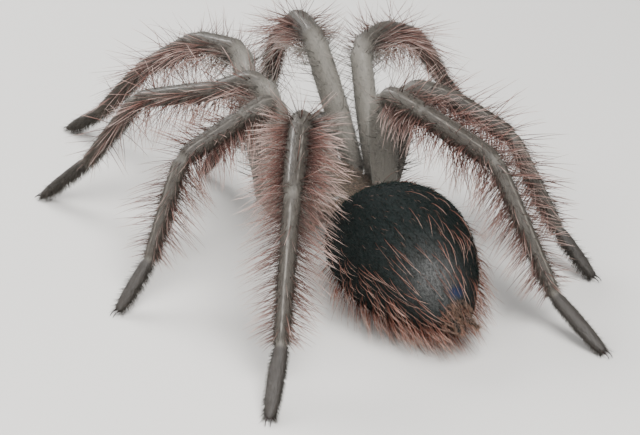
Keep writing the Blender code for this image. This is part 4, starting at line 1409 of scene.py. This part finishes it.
# %% Shape of a strand
STRAND_SIDES = 3
FLOOR_CLEAR = 0.03
# Shares of the length at which a strand has a ring of corners
LONG_RINGS = (0.0, 0.3, 0.62, 0.85)
MIDDLE_RINGS = (0.0, 0.5)
SHORT_RINGS = (0.0,)


def unit(rows):
    return rows / np.maximum(np.linalg.norm(rows, axis=1, keepdims=True), 1e-9)


def strand_faces(ring_count):
    """Corner numbers and face sizes of one strand: its sides, its point and its root."""
    corners = []
    sizes = []
    for ring in range(ring_count - 1):
        for k in range(STRAND_SIDES):
            after = (k + 1) % STRAND_SIDES
            corners += [ring * 3 + k, ring * 3 + after, ring * 3 + 3 + after, ring * 3 + 3 + k]
            sizes.append(4)
    last = (ring_count - 1) * 3
    for k in range(STRAND_SIDES):
        corners += [last + k, last + (k + 1) % STRAND_SIDES, last + 3]
        sizes.append(3)
    corners += [0, 2, 1]
    sizes.append(3)
    return np.array(corners), np.array(sizes)


def blade_points(line, width, rings, taper, helper):
    """The corners of each strand, ring by ring, and its tip last, round a bent line."""
    start, middle, end = line
    layers = []
    for share in rings:
        spot = start * (1 - share) ** 2 + middle * 2 * share * (1 - share) + end * share ** 2
        heading = unit((middle - start) * (1 - share) + (end - middle) * share)
        side = unit(np.cross(heading, helper))
        over = np.cross(heading, side)
        half = (width / 2 * (1 - share ** 1.5 * taper))[:, None]
        for corner in range(STRAND_SIDES):
            angle = 2 * math.pi * corner / STRAND_SIDES
            layers.append(spot + (side * math.cos(angle) + over * math.sin(angle)) * half)
    layers.append(end)
    rows = np.stack(layers, axis=1)
    rows[:, :, 2] = np.maximum(rows[:, :, 2], FLOOR_CLEAR)
    return rows


print("faces of a long strand:", len(strand_faces(len(LONG_RINGS))[1]))


# %% Strand maker
PATCH = 0.003
LIFT_SPREAD = 6
BEND_SPREAD = 7
ROOT_DEPTH = 0.35
ROOT_SHARE = 0.15
MIDDLE_CLEAR = 0.15
END_CLEAR = 0.12

coat_triangles = []


class Coat:
    """Gathers strands as arrays, in millimetres, and turns them into one mesh."""

    def __init__(self, name):
        self.name = name
        self.parts = []
        self.points = 0
        self.strands = 0

    def add(self, spots, normals, lies, length, width, lift, bend, rings, kind, pale, patch, draw,
            sway=0.25, taper=0.75, dark=0.0):
        """Roots strands. Lift, bend, kind and pale are one for each strand, or one for all."""
        count = len(spots)
        if count == 0:
            return
        lies = unit(lies - normals * np.einsum("ij,ij->i", lies, normals)[:, None])
        lies = unit(lies + np.cross(normals, lies) * draw.normal(0, sway, count)[:, None])
        rise = np.radians(lift + draw.normal(0, LIFT_SPREAD, count))[:, None]
        fall = rise - np.radians(bend + draw.normal(0, BEND_SPREAD, count))[:, None]
        run = length[:, None] / 2
        start = spots - normals * np.minimum(ROOT_DEPTH, ROOT_SHARE * length)[:, None]
        middle = spots + (normals * np.sin(rise) + lies * np.cos(rise)) * run
        end = middle + (normals * np.sin(fall) + lies * np.cos(fall)) * run
        middle[:, 2] = np.maximum(middle[:, 2], MIDDLE_CLEAR)
        end[:, 2] = np.maximum(end[:, 2], END_CLEAR)
        helper = unit(draw.normal(0, 1, (count, 3)))
        rows = blade_points((start, middle, end), width, rings, taper, helper)
        corners, sizes = strand_faces(len(rings))
        each = rows.shape[1]
        base = self.points + np.arange(count)[:, None] * each
        share = np.array([ring for ring in rings for corner in range(STRAND_SIDES)] + [1.0])
        edge = np.array([corner / 2 for ring in rings for corner in range(STRAND_SIDES)] + [0.5])
        tint = draw.random(count) * (1 - dark)
        offsets = np.stack((edge[corners], share[corners]), axis=1) * PATCH
        self.parts.append({
            "spots": rows.reshape(-1, 3),
            "corners": (base + corners[None]).ravel(),
            "sizes": np.tile(sizes, count),
            "along": np.tile(share, count),
            "tint": np.repeat(tint, each),
            "kind": np.repeat(np.broadcast_to(kind, count), each),
            "pale": np.repeat(np.broadcast_to(pale, count), each),
            "patch": (patch[:, None] * (1 - PATCH) + offsets[None]).reshape(-1, 2),
        })
        self.points += count * each
        self.strands += count

    def piece(self, looks):
        joined = {key: np.concatenate([part[key] for part in self.parts]) for key in self.parts[0]}
        data = bpy.data.meshes.new(self.name)
        spots = joined["spots"] * MM + np.array(body_middle)
        data.vertices.add(len(spots))
        data.vertices.foreach_set("co", spots.astype(np.float32).ravel())
        data.loops.add(len(joined["corners"]))
        data.loops.foreach_set("vertex_index", joined["corners"].astype(np.int32))
        data.polygons.add(len(joined["sizes"]))
        starts = np.concatenate(([0], np.cumsum(joined["sizes"])[:-1]))
        data.polygons.foreach_set("loop_start", starts.astype(np.int32))
        data.update(calc_edges=True)
        data.validate()
        for key in ("along", "tint", "kind", "pale"):
            set_value(data, key, joined[key])
        chart = data.uv_layers.new(name="OFBake")
        chart.data.foreach_set("uv", joined["patch"].astype(np.float32).ravel())
        data.shade_smooth()
        for look in looks:
            data.materials.append(look)
        made = bpy.data.objects.new(self.name, data)
        scene.collection.objects.link(made)
        triangles = int(np.sum(joined["sizes"] - 2))
        print(self.name, self.strands, "strands,", triangles, "triangles")
        coat_triangles.append(triangles)
        return made


print("strands end at least", END_CLEAR, "mm above the floor")

# %% [markdown]
# ## Looks of the coat
# One material serves all the hair of a region. Down and bristles differ in a stored kind, which
# mixes two runs of colour from root to tip: grey-olive for the down, red-brown with pale tips for
# the bristles. Over the abdomen the down is almost black, and the bristles orange-red.

# %% Coat materials
def coat_look(name, down, bristle, pale, rough, **constants):
    made, tree, sockets = new_look(name, **constants)
    along = attribute(tree, "along")
    tint = attribute(tree, "tint")
    first = use_group(tree, strand_group, Root=down[0], Middle=down[1], Tip=down[2], Along=along,
                      Tint=tint)["Color"]
    second = use_group(tree, strand_group, Root=bristle[0], Middle=bristle[1], Tip=bristle[2],
                       Along=along, Tint=tint)["Color"]
    colour = mix_colours(tree, attribute(tree, "kind"), first, second)
    # The stored pale brings in real pale rings and lines, and painted light: partly on the thighs,
    # a highlight on the instep's line and a sheen on the abdomen's worn patch
    colour = mix_colours(tree, times(tree, attribute(tree, "pale"), 0.8), colour, pale)
    tree.links.new(colour, sockets["Base Color"])
    gloss = stretch_range(tree, tint, 0, 1, rough - 0.08, rough + 0.08)
    tree.links.new(gloss, sockets["Roughness"])
    return made


# Root, middle and tip
LEG_DOWN = (rgb(0.022, 0.019, 0.015), rgb(0.062, 0.053, 0.043), rgb(0.130, 0.113, 0.094))
LEG_BRISTLE = (rgb(0.036, 0.015, 0.012), rgb(0.165, 0.075, 0.060), rgb(0.570, 0.425, 0.372))
# Pale of the coat on rings and lines, on thighs partly painted light, on the instep's middle line a
# painted highlight
LEG_PALE = rgb(0.20, 0.195, 0.172)
VELVET = (rgb(0.002, 0.003, 0.003), rgb(0.004, 0.009, 0.008), rgb(0.010, 0.022, 0.019))
SETAE = (rgb(0.060, 0.022, 0.016), rgb(0.205, 0.092, 0.068), rgb(0.470, 0.320, 0.262))
# Pale of the velvet in the worn patch: a painted sheen
VELVET_WORN_AND_SHEEN = rgb(0.105, 0.103, 0.097)
BODY_DOWN = (rgb(0.030, 0.024, 0.018), rgb(0.090, 0.072, 0.052), rgb(0.200, 0.165, 0.120))
BODY_BRISTLE = (rgb(0.080, 0.026, 0.016), rgb(0.260, 0.090, 0.052), rgb(0.480, 0.260, 0.180))
BODY_PALE = rgb(0.40, 0.33, 0.24)

leg_coat_look = coat_look("leg_coat_hair", LEG_DOWN, LEG_BRISTLE, LEG_PALE, 0.50,
                          Specular_IOR_Level=0.2)
abdomen_coat_look = coat_look("abdomen_coat_hair", VELVET, SETAE, VELVET_WORN_AND_SHEEN, 0.55,
                              Specular_IOR_Level=0.05)
body_coat_look = coat_look("body_coat_hair", BODY_DOWN, BODY_BRISTLE, BODY_PALE, 0.45)
print("coat looks:", [look.name for look in (leg_coat_look, abdomen_coat_look, body_coat_look)])

# %% [markdown]
# ## Dress the legs
# Hair is rooted by how far along the leg it is and how far round. A weight thins it out over the
# bare lines and on top of the leg, where the picture shows few bristles. Three tiers lie over one
# another: close down, a longer coat, and the long bristles that stand well off the leg.

# %% Leg coat
# Length of the bristles in mm by station
BRISTLE_LENGTHS = ((0.6, 3.0), (1.0, 4.5), (1.25, 7.0), (1.9, 9.0), (2.4, 10.5), (3.0, 10.8),
                   (3.5, 12.4), (4.0, 12.4), (4.5, 11.4), (4.85, 8.0), (5.0, 3.5), (6.0, 2.0))
PALP_BRISTLE_LENGTHS = ((0.6, 2.5), (1.2, 5.5), (2.0, 6.0), (3.0, 6.0), (3.8, 5.5), (4.3, 2.6),
                        (5.0, 2.0))
# Share of bristles by height on the cross-section, from -1 underneath to 1 on top
BRISTLE_ROUND = ((-1.0, 0.55), (-0.5, 0.9), (0.0, 0.95), (0.35, 0.45), (0.7, 0.12), (1.0, 0.1))
# Share of bristles by station: thin on the thigh, thickest toward the end of the instep
BRISTLE_ALONG = ((1.75, 0.12), (2.0, 0.60), (3.1, 0.70), (4.0, 0.85), (4.5, 1.0), (4.97, 1.0))
# Share of the bristles that are long, stout and pale at their tips, over a darker undergrowth
BOLD_SHARE = 0.45
# For each pair: the station where the brush of the toe starts, how full it is, and what share of
# bristles the instep has
TOE_START = {"1": 3.9, "2": 3.9, "3": 4.2, "4": 4.3}
TOE_FULLNESS = {"1": 2.8, "2": 2.8, "3": 2.6, "4": 1.4}
INSTEP_BRISTLES = {"1": 0.18, "2": 0.18, "3": 0.9, "4": 1.0}
TOE_DENSITY = 12.0
LEG_TIERS = (
    # name, strands a square mm, first and last station, lift, bend, width, rings
    ("down", 10.0, 0.25, 5.97, 13, 6, 0.10, SHORT_RINGS),
    ("coat", 2.3, 0.35, 5.0, 40, 16, 0.09, MIDDLE_RINGS),
    ("bristle", 2.95, 0.6, 4.97, 66, 12, 0.165, LONG_RINGS),
)
print("tiers of the leg coat:", [tier[0] for tier in LEG_TIERS])

# %% Roots on a limb
# Each root is turned by this angle from the one before, so that roots never fall in rows
GOLDEN_TURN = 137.508
TURN_SPREAD = 25


def spread_turns(count, draw):
    """Turns in degrees that fall evenly all round, each a little off."""
    shift = draw.uniform(-TURN_SPREAD, TURN_SPREAD, count)
    return np.mod(np.arange(count) * GOLDEN_TURN + shift, 360)


def limb_spots(limb, density, first, last, weight, draw):
    """Arc lengths, stations and turns of strands spread evenly over part of a limb."""
    start, stop = np.interp((first, last), limb.station, limb.arc)
    girth = (limb.half_width + limb.half_depth) / 2
    tries = int(2 * math.pi * girth.max() * (stop - start) * density)
    arcs = start + (stop - start) * (np.arange(tries) + draw.random(tries)) / tries
    turns = spread_turns(tries, draw)
    station = np.interp(arcs, limb.arc, limb.station)
    chance = weight(station, turns) * np.interp(arcs, limb.arc, girth) / girth.max()
    kept = draw.random(tries) < chance
    return arcs[kept], station[kept], turns[kept]


def limb_roots(limb, arcs, turns):
    """Where the strands are rooted, the hide's normal there, and the direction toward the tip."""
    middle = limb.at(arcs, "middle")
    across = unit(limb.at(arcs, "across"))
    up = unit(limb.at(arcs, "up"))
    width = limb.at(arcs, "half_width")[:, None]
    depth = limb.at(arcs, "half_depth")[:, None]
    side = np.cos(np.radians(turns))[:, None]
    rise = np.sin(np.radians(turns))[:, None]
    spots = middle + across * side * width + up * rise * depth
    normals = unit(across * side / width + up * rise / depth)
    return spots, normals, unit(limb.at(arcs, "heading"))


print("turns of the first roots:", spread_turns(4, np.random.default_rng(1)).round())


# %% Dress a limb
def leg_weight(tier, marks, instep):
    """The chance of a strand by its station and turn: less on bare lines, on top and on rings."""
    def weight(station, turns):
        lines, rings = marks(station, turns)
        if tier == "down":
            return (1 - 0.97 * lines) * (1 - 0.7 * rings)
        top = np.clip((np.sin(np.radians(turns)) - 0.3) / 0.5, 0, 1)
        if tier == "coat":
            shaggy = np.interp(station, (1.8, 2.0, 3.8, 4.2), (0.3, 0.55, 0.55, 1.0))
            return (1 - np.clip(lines * 2.5, 0, 1)) * (1 - 0.65 * top) * (1 - 0.8 * rings) * shaggy
        round_leg = np.interp(np.sin(np.radians(turns)), *zip(*BRISTLE_ROUND))
        along_leg = np.interp(station, *zip(*BRISTLE_ALONG))
        along_leg = along_leg * np.interp(station, (3.0, 4.2), (1.0, instep))
        return (1 - np.clip(lines * 2.0, 0, 1)) * round_leg * along_leg * (1 - 0.6 * rings)
    return weight


def strand_sizes(tier, station, lengths, scale, draw):
    """Length and kind of a tier's strands, and which of them are bold bristles."""
    count = len(station)
    bold = np.zeros(count, bool)
    if tier == "down":
        length = draw.uniform(0.7, 1.3, count) * scale
        kind = np.where(draw.random(count) < 0.05, 0.5, 0.0)
    elif tier == "coat":
        length = draw.uniform(1.6, 3.4, count) * scale
        kind = draw.uniform(0.0, 0.4, count)
    else:
        bold = draw.random(count) < BOLD_SHARE
        length = np.interp(station, *zip(*lengths)) * np.where(
            bold, draw.uniform(0.9, 1.15, count), draw.uniform(0.5, 0.9, count))
        kind = draw.uniform(0.8, 1.0, count)
    return length, kind, bold


def dress_limb(limb, coat, lengths, marks, toe_station, scale, instep, draw):
    for tier, density, first, last, lift, bend, width, rings in LEG_TIERS:
        last = min(last, limb.station[-1] - 0.03)
        if tier != "down":
            last = min(last, toe_station - 0.02)
        weight = leg_weight(tier, marks, instep)
        arcs, station, turns = limb_spots(limb, density, first, last, weight, draw)
        spots, normals, lies = limb_roots(limb, arcs, turns)
        pale_line, pale_ring = marks(station, turns)
        length, kind, bold = strand_sizes(tier, station, lengths, scale, draw)
        length = np.where(station > toe_station, length * 0.8, length)
        wide = width * draw.uniform(0.8, 1.15, len(arcs))
        dark = toe_tip(limb, station)
        if tier == "bristle":
            wide = wide * np.where(bold, 1.3, 0.8)
            dark = np.maximum(dark, np.where(bold, 0.0, 0.45))
        patch = np.stack((turns / 360, arcs / limb.arc[-1]), axis=1)
        # Thighs pale partly by their own colour and partly as painted light
        pale = np.maximum(pale_ring, np.interp(station, *zip(*PALE_AND_PAINTED_LIGHT_ALONG)))
        # Down and coat pale on the lines too; on the instep's middle line that is a painted
        # highlight
        if tier != "bristle":
            pale = np.maximum(pale, pale_line * 0.5)
        coat.add(spots, normals, lies, length, wide, lift, bend, rings, kind, pale, patch, draw,
                 sway=0.08 if tier == "down" else 0.25, dark=dark)


def dress_toe(limb, coat, first, fullness, draw):
    """The brush under and round the toe: close, short hair that stands out at its sides and tip."""
    def under(station, turns):
        low = np.clip(0.75 - np.sin(np.radians(turns)), 0, 1)
        return low * np.clip((station - first) / 0.3, 0.1, 1)
    last = limb.station[-1] - 0.02
    arcs, station, turns = limb_spots(limb, TOE_DENSITY, first, last, under, draw)
    spots, normals, lies = limb_roots(limb, arcs, turns)
    count = len(arcs)
    near_tip = np.clip((station - limb.station[-1] + 0.25) / 0.2, 0, 1)
    length = draw.uniform(0.6, 0.95, count) * np.maximum(fullness, 1 + 1.9 * near_tip)
    patch = np.stack((turns / 360, arcs / limb.arc[-1]), axis=1)
    coat.add(spots, normals, lies, length, draw.uniform(0.11, 0.15, count), 58 - 30 * near_tip, 5,
             SHORT_RINGS, 0.0, 0.0, patch, draw, dark=toe_tip(limb, station))


shin_side = leg_weight("bristle", leg_marks, 1.0)(np.array([3.5]), np.array([0.0]))
print("chance of a bristle at the side of a shin:", shin_side.round(2))

# %% Coats of the legs and palps
coats = []
for limb in limbs + palps:
    draw = np.random.default_rng(100 + limb.number)
    coat = Coat("coat_" + limb.name)
    if limb in limbs:
        pair = limb.name[-1]
        dress_limb(limb, coat, BRISTLE_LENGTHS, leg_marks, 5.0, 1.0, INSTEP_BRISTLES[pair], draw)
        dress_toe(limb, coat, TOE_START[pair], TOE_FULLNESS[pair], draw)
    else:
        dress_limb(limb, coat, PALP_BRISTLE_LENGTHS, palp_marks, 4.2, 0.85, 1.0, draw)
        dress_toe(limb, coat, 4.1, 1.2, draw)
    coats.append((coat.piece([leg_coat_look]), "leg_coat"))

# %% [markdown]
# ## Dress the abdomen
# Its velvet lies flat toward the rear and hides the skin. Over it lie long orange-red bristles,
# few on top and close together at the rear and underneath, where they run to the spinnerets and
# follow the curve of the belly.

# %% Roots on the abdomen
ABDOMEN_SAMPLES = 161
# The hide is longer along its curve than from end to end
LONGER_ROUND = 1.25
STEP_BACK, STEP_AHEAD = 0.002, 0.003
abdomen_shares = np.linspace(0.0, 1.0, ABDOMEN_SAMPLES)
abdomen_matrices = np.array([abdomen_frame(share, ABDOMEN_SKIN_DEPTH) for share in abdomen_shares])


def abdomen_point(share, turn):
    """Points of the hide at shares of the length and turns round it."""
    frames = np.empty((len(share), 3, 4))
    for row in range(3):
        for column in range(4):
            values = abdomen_matrices[:, row, column]
            frames[:, row, column] = np.interp(share, abdomen_shares, values)
    side = np.cos(np.radians(turn))[:, None]
    rise = np.sin(np.radians(turn))[:, None]
    return frames[:, :, 3] + frames[:, :, 0] * side + frames[:, :, 1] * rise


def abdomen_roots(density, weight, draw):
    """Roots, normals and lies of strands spread evenly over the abdomen."""
    widest = max(ABDOMEN_HALF_WIDTH, ABDOMEN_HALF_HEIGHT)
    tries = int(2 * math.pi * widest * ABDOMEN_LENGTH * LONGER_ROUND * density)
    share = (np.arange(tries) + draw.random(tries)) / tries
    turn = spread_turns(tries, draw)
    share = np.clip(share, STEP_BACK, 0.996)
    spots = abdomen_point(share, turn)
    toward = abdomen_point(share + STEP_AHEAD, turn) - abdomen_point(share - STEP_BACK, turn)
    around = abdomen_point(share, turn + 0.5) - abdomen_point(share, turn - 0.5)
    area = np.linalg.norm(np.cross(toward, around), axis=1)
    step = STEP_BACK + STEP_AHEAD
    most = step * ABDOMEN_LENGTH * LONGER_ROUND * widest * math.radians(1.0)
    kept = draw.random(tries) < weight(share, turn, spots) * np.minimum(1.0, area / most)
    spots, toward, around = spots[kept], toward[kept], around[kept]
    normals = unit(np.cross(around, toward))
    centre = abdomen_point(share[kept], turn[kept] + 180)
    outward = np.sign(np.einsum("ij,ij->i", normals, spots - (spots + centre) / 2))
    patch = np.stack((turn[kept] / 360, share[kept]), axis=1)
    return spots, normals * outward[:, None], unit(toward), share[kept], turn[kept], patch


def everywhere(share, turn, spots):
    return np.ones(len(share))


def thinner_where_worn(share, turn, spots):
    return (1 - 0.5 * worn_at(spots)) * (1 - 0.8 * np.clip(bald_at(spots) * 1.5, 0, 1))


def rear_and_under(share, turn, spots):
    under = np.clip(0.35 - np.sin(np.radians(turn)), 0, 1)
    rear = np.clip((share - 0.45) / 0.5, 0, 1)
    share = np.clip(0.035 + 0.2 * rear ** 2 + 0.45 * under + 0.9 * rear * under, 0, 1)
    return share * (1 - 0.5 * worn_at(spots))


print("the abdomen's top:", abdomen_point(np.array([0.5]), np.array([90.0])).round(1), "mm")

# %% Coats of the abdomen
draw = np.random.default_rng(301)
velvet = Coat("coat_abdomen_velvet")
# In the worn patch the velvet is thinner and its strands pale with a painted grey sheen
spots, normals, lies, share, turn, patch = abdomen_roots(6.0, thinner_where_worn, draw)
count = len(spots)
velvet.add(spots, normals, lies, draw.uniform(1.1, 1.9, count), draw.uniform(0.10, 0.16, count),
           15, 13, SHORT_RINGS, 0.0, worn_at(spots) * draw.uniform(0.35, 1.2, count), patch, draw)
spots, normals, lies, share, turn, patch = abdomen_roots(0.9, everywhere, draw)
count = len(spots)
velvet.add(spots, normals, lies, draw.uniform(2.0, 3.6, count), draw.uniform(0.10, 0.15, count),
           20, 22, MIDDLE_RINGS, np.where(draw.random(count) < 0.12, 0.5, 0.05),
           worn_at(spots) * draw.uniform(0.25, 1.3, count), patch, draw)
coats.append((velvet.piece([abdomen_coat_look]), "abdomen_coat"))

setae = Coat("coat_abdomen_bristles")
spots, normals, lies, share, turn, patch = abdomen_roots(0.85, rear_and_under, draw)
count = len(spots)
length = draw.uniform(7.0, 11.5, count) * np.interp(share, (0, 0.9, 1.0), (1.0, 1.0, 0.75))
low = np.clip(0.4 - np.sin(np.radians(turn)), 0, 1)
setae.add(spots, normals, lies, length, draw.uniform(0.12, 0.165, count), 23 + 32 * low,
          36 - 2 * low, LONG_RINGS, draw.uniform(0.85, 1.0, count), 0.0, patch, draw, sway=0.14)
coats.append((setae.piece([abdomen_coat_look]), "abdomen_coat"))

# %% [markdown]
# ## Dress the plates and the underside
# The carapace has short velvet that runs outward and forward from its pit, and a fringe at its
# rim. The jaws are furry in front, with a red brush along their inner, lower edge. Here the roots
# come from the finished meshes: a face is drawn by its area, and a spot is drawn on it.

# %% Roots on meshes
def mesh_roots(source, density, chance, draw):
    """Spots and normals of strands spread over a piece, in millimetres."""
    data = source.data
    data.calc_loop_triangles()
    corners = np.empty(len(data.loop_triangles) * 3, np.int32)
    data.loop_triangles.foreach_get("vertices", corners)
    points = (points_of(data) - np.array(body_middle)) / MM
    shading = np.empty(len(data.vertices) * 3, np.float32)
    data.vertices.foreach_get("normal", shading)
    shading = shading.reshape(-1, 3)
    corners = corners.reshape(-1, 3)
    first, second, third = (points[corners[:, k]] for k in range(3))
    area = np.linalg.norm(np.cross(second - first, third - first), axis=1) / 2
    middles = (first + second + third) / 3
    area = area * chance(middles, unit(shading[corners].mean(axis=1)))
    count = int(area.sum() * density)
    chosen = draw.choice(len(area), count, p=area / area.sum())
    share = draw.random((count, 2))
    flip = share.sum(axis=1) > 1
    share[flip] = 1 - share[flip]
    weights = np.stack((1 - share.sum(axis=1), share[:, 0], share[:, 1]), axis=1)
    spots = np.einsum("ij,ijk->ik", weights, points[corners[chosen]])
    normals = unit(np.einsum("ij,ijk->ik", weights, shading[corners[chosen]]))
    return spots, normals


def flat_patch(spots, low, high):
    """A plan of the piece as its chart: two axes spread from 0 to 1."""
    return np.clip((spots[:, :2] - low) / (np.array(high) - low), 0, 1)


# %% Coat of the carapace
BODY_BEND = 14
FUR_PALE = 0.12
# Half width and half length of the eye mound, which stays bare
MOUND_BARE = (2.1, 1.4)


def on_top(middles, normals):
    return np.clip(normals[:, 2] * 2 + 0.2, 0, 1)


def on_rim(middles, normals):
    return ((normals[:, 2] < 0.75) & (middles[:, 2] > CARAPACE_BASE - 0.2)).astype(float)


draw = np.random.default_rng(302)
fur = Coat("coat_carapace")
plan = (np.array((-12.5, -14.5)), np.array((12.5, 14.5)))
for density, chance, shortest, longest, lift, width, rings in (
        (16.0, on_top, 0.7, 1.2, 16, 0.12, SHORT_RINGS),
        (1.6, on_top, 1.2, 2.4, 30, 0.11, MIDDLE_RINGS),
        (6.0, on_rim, 1.2, 2.4, 32, 0.12, MIDDLE_RINGS)):
    spots, normals = mesh_roots(carapace, density, chance, draw)
    ahead = spots[:, 1] + EYE_MOUND[0]
    keep = np.hypot(spots[:, 0] / MOUND_BARE[0], ahead / MOUND_BARE[1]) > 1
    spots, normals = spots[keep], normals[keep]
    count = len(spots)
    lies = spots - np.array((0.0, -PIT_AHEAD, CARAPACE_BASE + 3))
    lies = unit(lies * (1.0, 1.0, 0.2)) + np.array((0.0, -0.25, 0.0))
    fur.add(spots, normals, unit(lies), draw.uniform(shortest, longest, count),
            width * draw.uniform(0.8, 1.1, count), lift, BODY_BEND, rings,
            np.where(draw.random(count) < 0.2, 0.5, 0.05), FUR_PALE,
            flat_patch(spots, *plan), draw)
coats.append((fur.piece([body_coat_look]), "abdomen_coat"))

# %% Coat of the jaws
JAW_FUR_START = -13.6
JAW_FUR_BEND = 16
BRUSH_DENSITY = 9.0


def in_front(middles, normals):
    return (middles[:, 1] < JAW_FUR_START).astype(float)


draw = np.random.default_rng(303)
beard = Coat("coat_jaws")
plan = (np.array((-6.5, -26.0)), np.array((6.5, -10.0)))
for jaw, side in zip(jaws, SIDES.values()):
    for density, shortest, longest, lift, width, rings, kind in (
            (12.0, 0.8, 1.5, 22, 0.12, SHORT_RINGS, 0.1),
            (2.6, 2.0, 3.6, 34, 0.13, MIDDLE_RINGS, 0.45),
            (0.35, 4.0, 6.0, 45, 0.17, LONG_RINGS, 0.9)):
        spots, normals = mesh_roots(jaw, density, in_front, draw)
        count = len(spots)
        lies = np.tile(np.array((side * 0.15, -0.75, -0.65)), (count, 1))
        beard.add(spots, normals, unit(lies), draw.uniform(shortest, longest, count),
                  width * draw.uniform(0.8, 1.1, count), lift, JAW_FUR_BEND, rings,
                  np.clip(draw.normal(kind, 0.1, count), 0, 1), 0.0, flat_patch(spots, *plan),
                  draw)

    def brush(middles, normals):
        return ((middles[:, 2] < JAW_LEVEL - 2.0) & (normals[:, 0] * side < 0.3)
                & (middles[:, 1] < -15)).astype(float)
    spots, normals = mesh_roots(jaw, BRUSH_DENSITY, brush, draw)
    count = len(spots)
    lies = np.tile(np.array((-side * 0.3, -0.4, -0.85)), (count, 1))
    beard.add(spots, normals, unit(lies), draw.uniform(2.2, 3.4, count),
              draw.uniform(0.11, 0.15, count), 40, 12, MIDDLE_RINGS, 1.0, 0.0,
              flat_patch(spots, *plan), draw)
coats.append((beard.piece([body_coat_look]), "abdomen_coat"))

# %% Coat of the underside
draw = np.random.default_rng(304)
under = Coat("coat_underside")
plan = (np.array((-14.0, -14.0)), np.array((14.0, 84.0)))
SPINNERET_MIDDLE = abdomen_frame(1.0).translation + BACK * SPINNERET_LENGTH / 2


def body_only(middles, normals):
    return ((middles[:, 1] < -ABDOMEN_FRONT[0] + 2) & (middles[:, 1] > -11)
            & (np.abs(middles[:, 0]) < 9) & (middles[:, 2] < CARAPACE_BASE)).astype(float)


def spinners_only(middles, normals):
    distance = np.linalg.norm(middles - np.array(SPINNERET_MIDDLE), axis=1)
    return (distance < SPINNERET_LENGTH + 1.0).astype(float)


for density, chance, shortest, longest, lift, width, rings in (
        (5.0, body_only, 1.2, 2.0, 25, 0.14, SHORT_RINGS),
        (1.4, body_only, 2.0, 3.6, 38, 0.13, MIDDLE_RINGS),
        (14.0, spinners_only, 0.9, 1.5, 25, 0.10, SHORT_RINGS),
        (4.0, spinners_only, 1.4, 2.6, 35, 0.11, MIDDLE_RINGS)):
    spots, normals = mesh_roots(hide, density, chance, draw)
    count = len(spots)
    lies = np.tile(np.array((0.0, 1.0, -0.1)), (count, 1))
    under.add(spots, normals, lies, draw.uniform(shortest, longest, count),
              width * draw.uniform(0.8, 1.1, count), lift, BODY_BEND, rings,
              np.clip(draw.normal(0.35, 0.2, count), 0, 1), 0.0, flat_patch(spots, *plan), draw)
coats.append((under.piece([body_coat_look]), "abdomen_coat"))
print("coat triangles in all:", sum(coat_triangles))

# %% [markdown]
# ## Hand the pieces over
# Every piece rides on the one still body. The hide takes the place of all the flesh, and the
# plates, jaws and fangs each take the place of their own solid. Eyes, claws and coats have no solid
# of their own.

# %% Rides and replaced solids
LEG_WORDS = ("coxa_", "femur_", "shin_", "foot_")

flesh = ["sternum", "pedicel", "abdomen"]
for side_name in SIDES:
    flesh += ["spinneret_" + side_name, "palp_upper_" + side_name, "palp_lower_" + side_name]
    for pair in (1, 2, 3, 4):
        flesh += [word + side_name + "_" + str(pair) for word in LEG_WORDS]
for piece, solids, slot in (
        (hide, flesh, "leg_coat"),
        (carapace, ["carapace"], "shell"), (mound, ["eye_mound"], "shell"),
        (jaws[0], ["chelicera_left"], "shell"), (jaws[1], ["chelicera_right"], "shell"),
        (fangs[0], ["fang_left"], "horn"), (fangs[1], ["fang_right"], "horn"),
        (front_eyes, [], "horn"), (side_eyes, [], "horn"), (claws, [], "horn")):
    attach(piece, "root")
    if solids:
        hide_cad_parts(*solids)
for piece, slot in coats:
    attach(piece, "root")
print("the hide stands for", len(flesh), "solids;", len(coats), "coats lie over it")
